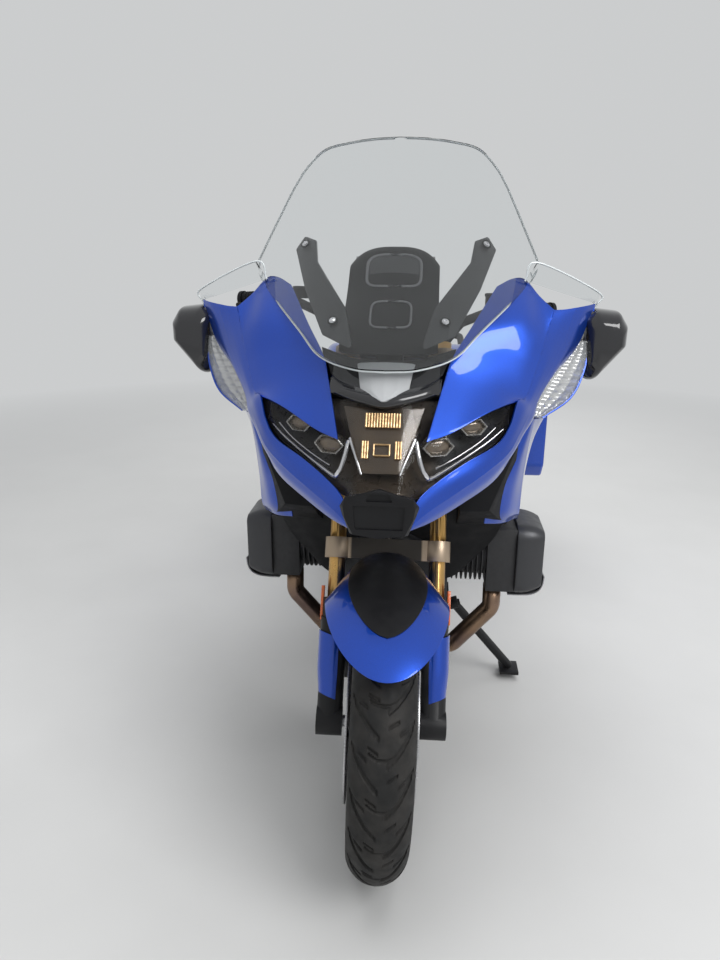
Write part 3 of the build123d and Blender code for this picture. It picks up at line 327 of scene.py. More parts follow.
class Finish:
    """A procedural material: a Principled shader with patterns on Object coordinates, kept by its key."""

    def __init__(self, key, name, colour, roughness, metallic=0.0, **sockets):
        self.material = FINISHES[key] = bpy.data.materials.new(name)
        self.material.use_nodes = True
        self.tree = self.material.node_tree
        self.shader = self.tree.nodes["Principled BSDF"]
        self.colour = (*colour, 1.0)
        sockets = {"Base_Color": self.colour, "Roughness": roughness, "Metallic": metallic, **sockets}
        for socket, value in sockets.items():
            self.shader.inputs[socket.replace("_", " ")].default_value = value
        self.place = shader_node(self.tree, "TexCoord").outputs["Object"]

    def drive(self, socket, source):
        """Links a pattern to one of the shader's sockets."""
        self.tree.links.new(source, self.shader.inputs[socket])
        return self

    def noise(self, scale, detail=4.0, stretch=None):
        """Fractal noise in space, with a number of waves to the metre."""
        source = shader_node(self.tree, "Mapping", self.place, Scale=stretch) if stretch else self.place
        return shader_node(self.tree, "TexNoise", source, Scale=scale, Detail=detail).outputs["Fac"]

    def cells(self, scale, output="Distance"):
        """Voronoi cells in space."""
        return shader_node(self.tree, "TexVoronoi", self.place, Scale=scale).outputs[output]

    def spread(self, value, low, high, start=0.3, end=0.7):
        """A pattern mapped onto a range."""
        return shader_node(self.tree, "MapRange", value, From_Min=start, From_Max=end, To_Min=low,
                           To_Max=high).outputs["Result"]

    def rough(self, scale, low, high, **noise):
        """Roughness that follows noise."""
        return self.drive("Roughness", self.spread(self.noise(scale, **noise), low, high))

    def tinted(self, value, other, start=0.35, end=0.7):
        """Colour that moves to another one with a pattern."""
        mix = self.tree.nodes.new("ShaderNodeMix")
        mix.data_type = "RGBA"
        self.tree.links.new(self.spread(value, 0.0, 1.0, start, end), mix.inputs["Factor"])
        mix.inputs["A"].default_value = self.colour
        mix.inputs["B"].default_value = (*other, 1.0)
        return self.drive("Base Color", mix.outputs["Result"])

    def mottled(self, scale, other, **noise):
        """Colour that moves to another one with noise."""
        return self.tinted(self.noise(scale, **noise), other)

    def by_side(self, other, start, end):
        """Colour that moves to another one with the distance from the machine's middle, in metres."""
        parts = shader_node(self.tree, "SeparateXYZ", self.place)
        size = shader_node(self.tree, "Math", parts.outputs["X"], operation="ABSOLUTE")
        return self.tinted(size.outputs["Value"], other, start, end)

    def see_through(self, facing, grazing):
        """A thin clear shell: hardly there where it is seen square on, and glossy along its edges."""
        layer = shader_node(self.tree, "LayerWeight", Blend=0.35)
        return self.drive("Alpha", self.spread(layer.outputs["Facing"], facing, grazing, 0.15, 0.95))

    def relief(self, value, strength, depth):
        """Relief that follows a pattern, with a depth in metres."""
        bump = shader_node(self.tree, "Bump", Strength=strength, Distance=depth)
        self.tree.links.new(value, bump.inputs["Height"])
        return self.drive("Normal", bump.outputs["Normal"])

    def grained(self, scale, strength, depth, detail=2.0):
        """Relief of fine noise."""
        return self.relief(self.noise(scale, detail), strength, depth)

    def pebbled(self, scale, strength, depth):
        """Relief of small cells."""
        return self.relief(self.cells(scale), strength, depth)


def make_finishes(colours):
    """All finishes of the machine, by key."""
    blue, black = tuple(colours.paint), tuple(colours.plastic)
    paint = Finish("paint", "metallic blue paint", blue, 0.32, 0.7, Coat_Weight=0.9, Coat_Roughness=0.03)
    paint.relief(paint.cells(2600.0, "Color"), 0.05, 0.00002)
    paint.mottled(900.0, tuple(c * 1.25 for c in blue), detail=2.0)
    Finish("satin", "satin black plastic", black, 0.42, Specular_IOR_Level=0.28).rough(
        60.0, 0.36, 0.5).grained(2200.0, 0.03, 0.00005)
    Finish("gloss", "gloss black plastic", (0.012, 0.012, 0.014), 0.12, Coat_Weight=0.6).rough(24.0, 0.09, 0.16)
    Finish("grain", "grained black plastic", black, 0.6, Specular_IOR_Level=0.2).pebbled(
        900.0, 0.35, 0.00025).rough(30.0, 0.52, 0.68)
    Finish("grey", "satin dark grey plastic", tuple(colours.arm), 0.4, Coat_Weight=0.15).rough(
        40.0, 0.34, 0.46).grained(1800.0, 0.03, 0.00005)
    Finish("graphite", "graphite satin paint", tuple(colours.head_cover), 0.38, 0.5).rough(
        50.0, 0.32, 0.45).grained(1400.0, 0.08, 0.0001)
    Finish("powder", "black powder coat", (0.010, 0.010, 0.011), 0.45, Specular_IOR_Level=0.3).grained(
        1500.0, 0.2, 0.00012, 3.0).rough(35.0, 0.4, 0.52)
    Finish("dark_cast", "dark cast aluminium", (0.045, 0.045, 0.047), 0.5, 0.6).grained(
        700.0, 0.4, 0.0003, 6.0).rough(90.0, 0.42, 0.6)
    Finish("steel", "brushed steel", (0.5, 0.5, 0.51), 0.3, 1.0).rough(
        60.0, 0.22, 0.4, detail=3.0, stretch=(1.0, 20.0, 20.0))
    Finish("chrome", "bright reflector", (0.78, 0.78, 0.8), 0.12, 1.0).rough(80.0, 0.08, 0.2)
    Finish("guard", "pale satin guard", (0.24, 0.24, 0.25), 0.42, 0.3).rough(45.0, 0.36, 0.5).grained(
        1500.0, 0.08, 0.0001)
    Finish("gold", "gold anodised tube", (0.66, 0.40, 0.13), 0.24, 1.0).rough(14.0, 0.26, 0.34).mottled(
        9.0, (0.52, 0.32, 0.12))
    Finish("tan", "tan anodised clamp", (0.42, 0.33, 0.24), 0.42, 0.7).grained(
        1200.0, 0.15, 0.0001, 4.0).rough(20.0, 0.36, 0.5).by_side((0.05, 0.045, 0.04), 0.078, 0.074)
    Finish("header", "heat tinted steel", (0.30, 0.20, 0.13), 0.34, 1.0).mottled(
        11.0, (0.16, 0.11, 0.10)).rough(60.0, 0.26, 0.45)
    Finish("acrylic", "clear acrylic", (0.93, 0.95, 0.955), 0.0, Transmission_Weight=1.0, IOR=1.49).rough(
        18.0, 0.0, 0.003)
    Finish("edge", "cut acrylic edge", (0.66, 0.70, 0.71), 0.3, Coat_Weight=0.5).rough(300.0, 0.28, 0.42)
    Finish("smoky", "smoky lamp lens", (0.035, 0.032, 0.03), 0.05, Coat_Weight=0.6).rough(
        12.0, 0.03, 0.07).see_through(0.07, 0.85)
    Finish("fluted", "fluted reflector", (0.70, 0.70, 0.69), 0.2, 0.6, Coat_Weight=0.8).pebbled(
        160.0, 0.2, 0.001).rough(50.0, 0.16, 0.28)
    Finish("red", "red lamp lens", (0.35, 0.01, 0.012), 0.12, Coat_Weight=1.0).pebbled(240.0, 0.6, 0.0015)
    Finish("orange", "orange reflector", (0.85, 0.16, 0.02), 0.2, Coat_Weight=1.0).pebbled(420.0, 0.7, 0.0012)
    # Painted glints: the prisms' weak orange emission stands in for glints, since the lamp is not lit.
    Finish("glow", "warm fluted prism", (0.62, 0.44, 0.24), 0.2, 0.75, Emission_Strength=0.10,
           Emission_Color=(1.0, 0.62, 0.25, 1.0)).mottled(160.0, (0.25, 0.16, 0.09)).rough(60.0, 0.12, 0.3)
    Finish("rubber", "tyre rubber", (0.014, 0.014, 0.014), 0.72, Specular_IOR_Level=0.3).grained(
        1600.0, 0.25, 0.0002, 4.0).mottled(26.0, (0.03, 0.028, 0.026)).rough(45.0, 0.62, 0.85)
    Finish("bezel", "dark chrome bezel", (0.46, 0.45, 0.43), 0.25, 0.85).rough(90.0, 0.18, 0.34)
    Finish("amber", "brown tinted lamp", (0.19, 0.145, 0.105), 0.14, 0.4, Coat_Weight=1.0).mottled(
        60.0, (0.27, 0.21, 0.15)).rough(30.0, 0.1, 0.2)
    Finish("bronze_tint", "smoked brown panel", (0.045, 0.030, 0.018), 0.18, 0.2, Coat_Weight=0.8).mottled(
        18.0, (0.08, 0.055, 0.032))
    Finish("clear_lens", "clear indicator lens", (0.5, 0.52, 0.54), 0.05, Coat_Weight=1.0).rough(
        16.0, 0.03, 0.07).see_through(0.10, 0.8)
    Finish("housing", "lamp housing", (0.05, 0.036, 0.024), 0.3, 0.5).by_side(
        (0.045, 0.047, 0.05), 0.08, 0.11).rough(70.0, 0.24, 0.38)
    Finish("cover", "grained seat cover", (0.02, 0.02, 0.021), 0.62, Sheen_Weight=0.15).pebbled(
        520.0, 0.5, 0.0005).rough(25.0, 0.52, 0.7)
    Finish("glass", "dark display glass", (0.012, 0.013, 0.016), 0.08, Coat_Weight=1.0).rough(15.0, 0.05, 0.12)
    Finish("shield", "light grey shield", (0.36, 0.37, 0.38), 0.4).rough(30.0, 0.34, 0.48).grained(
        1500.0, 0.08, 0.0001)


# Sizes and colours that a user may change

def colour_setting(name, description, default):
    """A colour that the panel shows."""
    return FloatVectorProperty(name=name, description=description, size=3, subtype="COLOR", min=0.0,
                               max=1.0, default=default)


class MachineColours(bpy.types.PropertyGroup):
    """Colours of the painted and moulded parts."""
    paint: colour_setting("Paint", "Colour of the fairing and mudguard", (0.003, 0.052, 0.40))
    plastic: colour_setting("Plastic", "Colour of the black mouldings", (0.007, 0.007, 0.008))
    arm: colour_setting("Arms", "Colour of the screen's arms", (0.05, 0.052, 0.055))
    head_cover: colour_setting("Head covers", "Colour of the cylinder head covers", (0.055, 0.056, 0.06))


class MachineSizes(bpy.types.PropertyGroup):
    """Sizes of the sheet and moulded parts."""
    panel_wall: FloatProperty(name="Panel wall", description="Thickness of the painted panels", unit="LENGTH",
                              min=0.001, default=0.003)
    screen_wall: FloatProperty(name="Screen wall", description="Thickness of the windscreen", unit="LENGTH",
                               min=0.001, default=0.004)
    edge_round: FloatProperty(name="Edge rounding", description="Rounding of panel edges", unit="LENGTH",
                              min=0.0, default=0.0009)
    cloth_frames: IntProperty(name="Cloth frames", description="Steps of the seat simulation", min=1,
                              default=20)


class StageSettings(bpy.types.PropertyGroup):
    """Camera, floor and lamps."""
    camera_place: FloatVectorProperty(name="Camera", description="Where the camera stands", size=3,
                                      subtype="TRANSLATION", unit="LENGTH", default=(0.08035, -2.09923, 1.24))
    camera_pitch: FloatProperty(name="Pitch", description="Camera's tilt downwards", subtype="ANGLE",
                                default=math.radians(17.5))
    camera_turn: FloatProperty(name="Turn", description="Camera's turn to the rider's right",
                               subtype="ANGLE", default=0.096)
    camera_roll: FloatProperty(name="Roll", description="Camera's roll", subtype="ANGLE", default=0.004)
    focal_share: FloatProperty(name="Focal share", description="Focal length over the picture's height",
                               min=0.1, default=721.0 / 960.0)
    floor_tone: FloatProperty(name="Floor tone", description="Lightness of the floor", min=0.0, max=1.0,
                              default=0.60)
    lamp_level: FloatProperty(name="Lamp level", description="Strength of the soft lamps", min=0.0,
                              default=1.0)


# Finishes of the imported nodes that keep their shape: body, slot, finish, edge rounding
REFINED_NODES = {
    "chassis": {
        "main_frame": ("frame_black", "powder", 0.0010), "engine_block": ("cast", "dark_cast", 0.003),
        "cylinders": ("cast", "dark_cast", 0.0006), "head_covers": ("graphite", "graphite", 0.002),
        "exhaust_headers": ("header", "header", 0.0), "silencer": ("steel", "steel", 0.0015),
        "suspension_arm": ("frame_black", "powder", 0.0008), "swingarm": ("frame_black", "powder", 0.0015),
        "rear_axle": ("steel", "steel", 0.0008), "stand_carrier": ("frame_black", "powder", 0.0008),
        "footrests": ("frame_black", "powder", 0.0008),
        "inner_fairing": ("black_plastic", "grain", 0.001), "front_cowl": ("black_plastic", "gloss", 0.0008),
        "nose_plate": ("black_plastic", "satin", 0.0008), "screen_arms": ("grey_plastic", "grey", 0.0025),
        "wind_deflectors": ("clear", "acrylic", 0.0), "mirrors": ("black_plastic", "gloss", 0.004),
        "instrument_panel": ("display", "glass", 0.001), "mirror_glasses": ("mirror", "chrome", 0.0),
        "side_covers": ("grey_plastic", "grain", 0.0008),
        "tank_cover": ("paint", "paint", 0.001), "tail_cowl": ("paint", "paint", 0.001),
        "luggage_rack": ("frame_black", "powder", 0.001), "rear_lamp": ("red_lens", "red", 0.001),
        "rear_mudguard": ("black_plastic", "grain", 0.001), "pannier_left": ("black_plastic", "satin", 0.006),
        "pannier_right": ("black_plastic", "satin", 0.006)},
    "steering_assembly": {
        "fork_sliders": ("graphite", "powder", 0.001), "fork_stanchions": ("gold", "gold", 0.0),
        "fork_bridges": ("bronze", "tan", 0.0012), "front_axle": ("steel", "steel", 0.0008),
        "handlebars": ("frame_black", "grain", 0.001),
        "brake_calipers": ("frame_black", "powder", 0.001), "reflectors": ("reflector", "orange", 0.0008)},
    "front_wheel": {"front_rim": ("cast", "powder", 0.0012), "front_discs": ("steel", "steel", 0.0004)},
    "rear_wheel": {"rear_rim": ("cast", "powder", 0.0012)},
    "centre_stand_body": {"centre_stand": ("frame_black", "powder", 0.0008)},
    "side_stand_body": {"side_stand": ("frame_black", "powder", 0.0008)},
    "left_case_lid": {"pannier_lid_left": ("paint", "paint", 0.009)},
    "right_case_lid": {"pannier_lid_right": ("paint", "paint", 0.009)},
}
# Wall and edge rounding of the moulded sheets, in metres
MOULDED = {"wall": 0.003, "bevel": 0.001}


class MOTO_OT_finishes(bpy.types.Operator):
    """Makes every finish of the machine"""
    bl_idname = "moto.finishes"
    bl_label = "Finishes"

    def execute(self, context):
        make_finishes(context.scene.moto_colours)
        return {"FINISHED"}


# Fairing. Nets of (x, distance behind the front axle, z) in millimetres on the rider's left.
# The wing runs from its top edge down to the lamp; its columns go from the cockpit to the crease.
WING_NET = [
    [(207, 226, 1173), (240, 252, 1188), (268, 268, 1186), (296, 254, 1156), (325, 232, 1130)],
    [(160, 138, 1108), (205, 158, 1113), (255, 177, 1112), (283, 184, 1096), (306, 191, 1078)],
    [(122, 84, 1052), (172, 108, 1056), (225, 133, 1052), (262, 146, 1038), (288, 157, 1023)],
    [(107, 46, 1012), (150, 66, 1009), (203, 90, 1004), (238, 102, 990), (266, 114, 976)],
    [(78, -50, 921), (124, -16, 931), (182, 28, 955), (216, 54, 966), (246, 79, 972)],
]
# The strip outside the crease, which turns under the lamp and ends in the beak's tip.
STRIP_NET = [
    [(325, 232, 1130), (348, 244, 1131), (372, 259, 1134)],
    [(306, 191, 1078), (326, 206, 1074), (346, 223, 1070)],
    [(288, 157, 1023), (302, 167, 1019), (316, 181, 1016)],
    [(266, 114, 976), (276, 122, 971), (285, 134, 966)],
    [(246, 79, 972), (260, 90, 954), (271, 106, 940)],
    [(233, 62, 930), (243, 69, 919), (253, 82, 908)],
    [(209, 40, 898), (220, 46, 887), (231, 56, 876)],
    [(149, -6, 872), (166, -2, 860), (183, 6, 848)],
    [(97, -50, 846), (112, -46, 834), (127, -38, 820)],
    [(67, -80, 824), (75, -80, 812), (83, -77, 800)],
    [(43, -103, 779), (46, -102, 777), (49, -101, 775)],
]
# Below the ridge of the strip, down to the lower edge.
UNDER_NET = [
    [(372, 259, 1134), (396, 278, 1137), (417, 300, 1140)],
    [(346, 223, 1070), (366, 242, 1065), (384, 266, 1060)],
    [(316, 181, 1016), (330, 198, 1014), (340, 222, 1014)],
    [(285, 134, 966), (296, 154, 966), (302, 184, 972)],
    [(271, 106, 940), (283, 128, 932), (289, 160, 927)],
    [(253, 82, 908), (263, 102, 904), (268, 128, 902)],
    [(231, 56, 876), (239, 72, 869), (243, 92, 864)],
    [(183, 6, 848), (196, 24, 835), (206, 48, 824)],
    [(127, -38, 820), (137, -24, 806), (144, -6, 794)],
    [(83, -77, 800), (88, -70, 788), (91, -60, 778)],
    [(49, -101, 775), (51, -99, 774), (53, -96, 773)],
]
# The side, from the shoulder down; its columns run back to the tank.
FLANK_NET = [
    [(417, 300, 1140), (405, 350, 1122), (377, 430, 1092), (320, 540, 1040), (264, 640, 985), (214, 780, 916)],
    [(410, 284, 1062), (394, 345, 1052), (366, 430, 1030), (318, 540, 985), (274, 640, 930), (224, 780, 880)],
    [(401, 262, 1004), (384, 340, 992), (350, 430, 975), (308, 540, 935), (272, 640, 900), (222, 780, 860)],
    [(372, 228, 954), (362, 325, 938), (334, 430, 915), (300, 540, 888), (268, 640, 870), (219, 780, 842)],
    [(312, 184, 921), (332, 300, 898), (320, 430, 872), (294, 540, 856), (264, 640, 845), (216, 780, 828)],
]
LOWER_FLANK_NET = [
    [(292, 170, 920), (330, 300, 896), (318, 430, 870), (292, 540, 854), (262, 640, 843)],
    [(284, 176, 856), (310, 300, 845), (302, 430, 825), (284, 540, 810), (258, 640, 800)],
    [(280, 190, 780), (297, 300, 770), (292, 430, 755), (274, 540, 755), (252, 640, 765)],
    [(280, 204, 713), (291, 300, 690), (288, 430, 672), (270, 540, 700), (248, 640, 735)],
    [(282, 238, 684), (287, 300, 656), (285, 430, 645), (266, 540, 680), (245, 640, 722)],
]
BLADE_NET = [
    [(286, 160, 926), (289, 164, 923), (292, 170, 920)],
    [(252, 136, 858), (270, 148, 857), (284, 176, 856)],
    [(228, 120, 796), (258, 146, 788), (280, 190, 780)],
    [(207, 138, 743), (248, 156, 728), (280, 204, 713)],
    [(204, 158, 696), (246, 186, 689), (282, 238, 684)],
]
# The lamp's clear front: columns from the middle out, rows from the top down.
LENS_NET = [
    [(0, -14, 985), (42, -10, 985), (90, 22, 978), (150, 54, 972), (210, 88, 980), (246, 100, 982)],
    [(0, -44, 935), (42, -42, 935), (90, -14, 938), (150, 16, 948), (210, 58, 958), (247, 88, 966)],
    [(0, -75, 890), (42, -72, 890), (92, -40, 888), (152, 8, 905), (214, 54, 926), (244, 82, 945)],
    [(0, -103, 836), (38, -100, 834), (74, -64, 822), (150, 6, 864), (210, 50, 893), (238, 74, 926)],
]
# Painted skins: start of the name, node that each stands for, and nets
SKINS = (("fairing_skin", "fairing", (WING_NET, STRIP_NET, UNDER_NET, FLANK_NET)),
         ("side_skin", "side_panel", (BLADE_NET, LOWER_FLANK_NET)))


class MOTO_OT_fairing(bpy.types.Operator):
    """Makes the painted wings, beak and sides of the fairing"""
    bl_idname = "moto.fairing"
    bl_label = "Fairing"

    def execute(self, context):
        sizes = context.scene.moto_sizes
        for side, label in enumerate(("left", "right")):
            for name, node, nets in SKINS:
                grids = [both_sides(sheet(net, 61, 41))[side] for net in nets]
                build(f"{name}_{label}", grids, "paint", "paint", f"{node}_{label}", wall=sizes.panel_wall,
                      bevel=sizes.edge_round, smooth_deg=24.0)
        return {"FINISHED"}


# Lines inside the lamp on the rider's left: the long guide under the lamps with its V, one inside it
# and the short guide
GUIDE_LINE = [(222, 69, 920), (194, 46, 901), (161, 21, 883), (121, -14, 865), (88, -44, 853), (80, -51, 858),
              (73, -52, 870), (66, -48, 893), (61, -38, 918)]
INNER_GUIDE = [(207, 60, 925), (181, 38, 905), (150, 14, 888), (118, -10, 874), (96, -30, 868)]
SHORT_GUIDE = [(34, -79, 867), (43, -66, 889), (52, -49, 908), (58, -37, 922)]
# Each line inside the lamp with its radii in millimetres, evenly spaced along it
LIGHT_GUIDES = ((GUIDE_LINE, (2.2, 3.0, 5.5, 4.0)), (INNER_GUIDE, (1.4, 2.0)), (SHORT_GUIDE, (2.4, 3.6)))
# Middle and half width of each lamp, the way that they face, and the panel between them
LAMP_PLACES = (((101, -14, 903), 32.0), ((166, 41, 929), 29.0))
LAMP_AXIS = np.array([math.sin(math.radians(21.0)), -math.cos(math.radians(21.0)), 0.0])
LAMP_CENTRE_NET = [[(0, -6, 972), (40, -3, 972), (74, 8, 971)],
                   [(0, -42, 922), (34, -41, 922), (57, -30, 922)],
                   [(0, -78, 868), (24, -78, 868), (38, -76, 868)]]
# The prisms' frame, and their two rows: places across, the line of one prism as (s, z), radius
PRISM_FRAME = [(-14, -54, 916), (14, -54, 916), (14, -66, 899), (-14, -66, 899), (-14, -54, 916)]
PRISM_ROWS = ((np.arange(-30.0, 31.0, 5.0), ((-22, 965), (-30, 954), (-38, 943)), 0.0022),
              ((-34.0, -29.5, -25.0, 25.0, 29.5, 34.0), ((-51, 921), (-60, 907), (-69, 894)), 0.0021))


def pressed_lamp(profile, centre, sides, height):
    """A profile turned about the lamp's axis, its height pressed to a share of its width."""
    middle = np.array(centre, float)
    grid = spun(profile, middle, LAMP_AXIS, sides)
    return both_sides(place(middle + (grid - middle) * np.array([1.0, 1.0, height])))


def hexagon_lamp(centre, half_width):
    """A flattened six-sided rim and bowl that faces forwards and a little out."""
    profile = [(-26, 0), (-26, half_width * 0.9), (0, half_width), (1.5, half_width - 2), (0, half_width - 5),
               (-9, half_width - 8), (-9, 0)]
    return pressed_lamp(profile, centre, 6, 0.62)


def domed_lens(centre, half_width):
    """A shallow dome in the rim: r = a sin t, height = b cos t, for t from 0 to a right angle."""
    angle = np.linspace(0.0, math.pi / 2, 10)
    profile = np.stack([-10 + 9 * np.cos(angle), (half_width - 7) * np.sin(angle)], 1)
    return pressed_lamp(profile, centre, 32, 0.60)


class MOTO_OT_headlight(bpy.types.Operator):
    """Makes the lamp: clear front, dark housing, lamps, light guides and centre prisms"""
    bl_idname = "moto.headlight"
    bl_label = "Headlight"

    def execute(self, context):
        front = np.array(LENS_NET, float)
        clear = wide(front + np.array([0.0, 3.0, 0.0]))
        build("headlight_glass", [sheet(clear, 49, 121)], "lens", "smoky", "headlight_lens", wall=0.0025)
        back = wide(front * np.array([0.985, 1.0, 1.0]) + np.array([0.0, 58.0, 0.0]))
        back[0, :, 1] -= 40.0
        back[-1, :, 1] -= 50.0
        build("headlight_back", [sheet(back, 33, 81)], "lamp", "housing", "headlight_housing", **MOULDED)
        rims = sum((hexagon_lamp(*lamp) for lamp in LAMP_PLACES), [])
        build("lamp_rims", rims, "lamp", "bezel", closed=True, bevel=0.0006, smooth_deg=20.0)
        domes = sum((domed_lens(*lamp) for lamp in LAMP_PLACES), [])
        build("lamp_lenses", domes, "lamp", "amber", closed=True)
        guides = []
        for line, radii in LIGHT_GUIDES:
            radius = np.interp(np.linspace(0, 1, 60), np.linspace(0, 1, len(radii)), radii)
            guides += both_sides(tube(place(curve(line, 60)), radius / 1000.0, 12))
        build("light_guides", guides, "lamp", "chrome", closed=True)
        build("lamp_centre", [sheet(wide(LAMP_CENTRE_NET), 25, 33)], "lamp", "bronze_tint", **MOULDED)
        columns = [tube(place([(x, *point) for point in line]), radius, 10)
                   for across, line, radius in PRISM_ROWS for x in across]
        for start, end in zip(PRISM_FRAME[:-1], PRISM_FRAME[1:]):
            middle = tuple((a + b) / 2 for a, b in zip(start, end))
            columns.append(tube(place([start, middle, end]), 0.0016, 8))
        # The prisms' finish paints glints on them with a weak emission.
        build("lamp_prisms", columns, "lamp", "glow", closed=True)
        return {"FINISHED"}


# Cowl between lamp and screen: half nets from the middle out
TRIM_NET = [[(0, -4, 997), (34, 4, 1002), (68, 22, 1008), (104, 46, 1016)],
            [(0, -22, 989), (34, -14, 994), (68, 2, 1000), (102, 28, 1008)],
            [(0, -26, 979), (34, -18, 985), (68, -2, 991), (100, 22, 999)],
            [(0, -14, 973), (34, -8, 979), (68, 8, 985), (98, 30, 992)]]
SHIELD_NET = [[(0, 34, 1046), (26, 37, 1045), (53, 48, 1042)],
              [(0, 12, 1024), (24, 15, 1024), (48, 24, 1024)],
              [(0, -13, 1003), (22, -8, 1003), (43, 6, 1003)],
              [(0, -30, 987), (3, -30, 987), (6, -29, 988)]]
SIDE_COWL_NET = [[(46, 46, 1044), (80, 62, 1048), (124, 92, 1062)],
                 [(42, 26, 1016), (74, 42, 1024), (112, 74, 1040)],
                 [(12, 4, 992), (58, 20, 1004), (104, 54, 1022)]]
# The dark sheet behind them that closes the cowl
COWL_BACK_NET = [[(0, 62, 1046), (60, 72, 1048), (128, 110, 1064)],
                 [(0, 34, 1000), (60, 46, 1004), (116, 84, 1012)],
                 [(0, 30, 962), (60, 44, 962), (100, 70, 962)]]
RIDGE_LINE = [(90, 46, 1022), (72, 32, 1011), (54, 20, 1006)]


class MOTO_OT_cowl(bpy.types.Operator):
    """Makes the V trim above the lamp, the grey shield and the black panels beside it"""
    bl_idname = "moto.cowl"
    bl_label = "Cowl"

    def execute(self, context):
        build("cowl_trim", [sheet(wide(TRIM_NET), 21, 61)], "black_plastic", "gloss", **MOULDED)
        shield = sheet(wide(SHIELD_NET), 25, 33, straight_weights)
        build("cowl_shield", [shield], "grey_plastic", "shield", **MOULDED)
        sides = both_sides(sheet(SIDE_COWL_NET, 21, 31)) + [sheet(wide(COWL_BACK_NET), 17, 41)]
        build("cowl_sides", sides, "black_plastic", "satin", **MOULDED)
        ridge = place(curve(RIDGE_LINE, 24))
        build("cowl_ridges", both_sides(tube(ridge, 0.0022, 10)), "grey_plastic", "grey", closed=True)
        return {"FINISHED"}


# Windscreen: a sheet of an upright cylinder that leans back
SCREEN_RADIUS, SCREEN_LEAN, SCREEN_BASE = 480.0, math.radians(45.5), 1037.0
SCREEN_LOW = [(0, 1037), (60, 1040), (126, 1058), (176, 1099), (281, 1184), (300, 1224)]
SCREEN_HIGH = [(0, 1480.5), (60, 1478.5), (118, 1472), (172, 1459), (212, 1419), (237, 1375)]
SCREEN_BOLTS = ((186, 1256), (106, 1116))
# A deflector's front edge: (x, z) of its corners, laid on the plane through three of its points
DEFLECTOR_EDGE = [(267, 1186), (290, 1222), (426, 1163), (426, 1138), (412, 1119)]
DEFLECTOR_PLANE = np.array([(430, 312, 1163), (290, 262, 1224), (412, 310, 1118)], float)


def on_screen(points, behind=0.0):
    """Front-view (x, z) points set on the screen: y = R - sqrt(R^2 - x^2) is how far the cylinder has
    curved back, h is the height along the lean, and behind is a depth square to the sheet."""
    points = np.asarray(points, float)
    x, z = points[..., 0], points[..., 1]
    y = SCREEN_RADIUS - np.sqrt(SCREEN_RADIUS ** 2 - x ** 2)
    h = (z - SCREEN_BASE + y * math.sin(SCREEN_LEAN)) / math.cos(SCREEN_LEAN)
    inward = 1.0 - behind / SCREEN_RADIUS
    y_in = SCREEN_RADIUS - (SCREEN_RADIUS - y) * inward
    s = y_in * math.cos(SCREEN_LEAN) + h * math.sin(SCREEN_LEAN)
    up = h * math.cos(SCREEN_LEAN) - y_in * math.sin(SCREEN_LEAN) + SCREEN_BASE
    return np.stack([x * inward, s, up], -1)


def screen_normal(x):
    """The direction out of the front of the screen at a distance from its middle."""
    across = x / SCREEN_RADIUS
    along = -math.sqrt(1.0 - across ** 2)
    return np.array([across, along * math.cos(SCREEN_LEAN), -along * math.sin(SCREEN_LEAN)])


def bolt(centre, axis, radius):
    """A domed screw head with a round socket, on a washer."""
    head = spun([(0, 0), (0, radius * 1.35), (1.2, radius * 1.35), (1.3, radius), (3.4, radius * 0.96),
                 (4.6, radius * 0.7), (4.8, radius * 0.45), (2.2, radius * 0.42), (2.2, 0)], centre, axis, 24)
    return place(head)


class MOTO_OT_screen(bpy.types.Operator):
    """Makes the windscreen with its cut edge, the arms' bolts and the deflectors' edges"""
    bl_idname = "moto.screen"
    bl_label = "Windscreen"

    def execute(self, context):
        low, high = curve(SCREEN_LOW, 49), curve(SCREEN_HIGH, 49)
        share = np.linspace(0.0, 1.0, 57)[:, None, None]
        half = high[None] * (1 - share) + low[None] * share
        sheet_points = np.concatenate([half[:, :0:-1] * np.array([-1.0, 1.0]), half], 1)
        wall = context.scene.moto_sizes.screen_wall
        build("windscreen_sheet", [place(on_screen(sheet_points))], "clear", "acrylic", "windscreen", wall=wall)
        rim = np.concatenate([low, half[::-1, -1][1:], high[::-1][1:]])
        loop = np.concatenate([rim, rim[-2::-1] * np.array([-1.0, 1.0])])
        edge = place(on_screen(loop, wall * 500.0))
        a, b, c = DEFLECTOR_PLANE
        n = np.cross(b - a, c - a)
        line = np.array([(x, a[1] - (n[0] * (x - a[0]) + n[2] * (z - a[2])) / n[1], z)
                         for x, z in DEFLECTOR_EDGE])
        edges = [tube(edge, 0.0021, 8)] + both_sides(tube(place(curve(line, 50)), 0.0018, 8))
        build("cut_edges", edges, "clear", "edge", closed=True)
        heads, wells = [], []
        for x, z in SCREEN_BOLTS:
            for side in (-1, 1):
                centre, axis = on_screen((side * x, z), -0.3), screen_normal(side * x)
                heads.append(bolt(centre + axis * 0.8, axis, 5.0))
                wells.append(place(spun([(0, 0), (0, 10), (1.2, 10), (1.2, 6.5), (0.6, 0)], centre, axis, 32)))
        build("screen_bolts", heads, "steel", "chrome", closed=True)
        build("screen_washers", wells, "black_plastic", "gloss", closed=True)
        return {"FINISHED"}


# Front mudguard: degrees ahead of the wheel's top, crown radius, how far it has dropped 120 mm out
MUDGUARD_RISE = [(44, 349, 46), (36, 347, 44), (23, 341, 37), (8, 346, 48), (-4, 356, 84), (-14, 358, 104),
                 (-24, 344, 98), (-40, 326, 78)]
FRONT_AXLE_Z, FORK_SPACING, LEG_RADIUS = 300.0, 108.0, 27.0
RAKE = math.radians(26.0)
# Covers of the fork legs and the caps on them: from and to along the leg, radius, slant
LEG_COVER = (36.0, 176.0, LEG_RADIUS + 4.5, 10.0)
LEG_CAP = (176.0, 206.0, LEG_RADIUS + 6.0, 10.0)


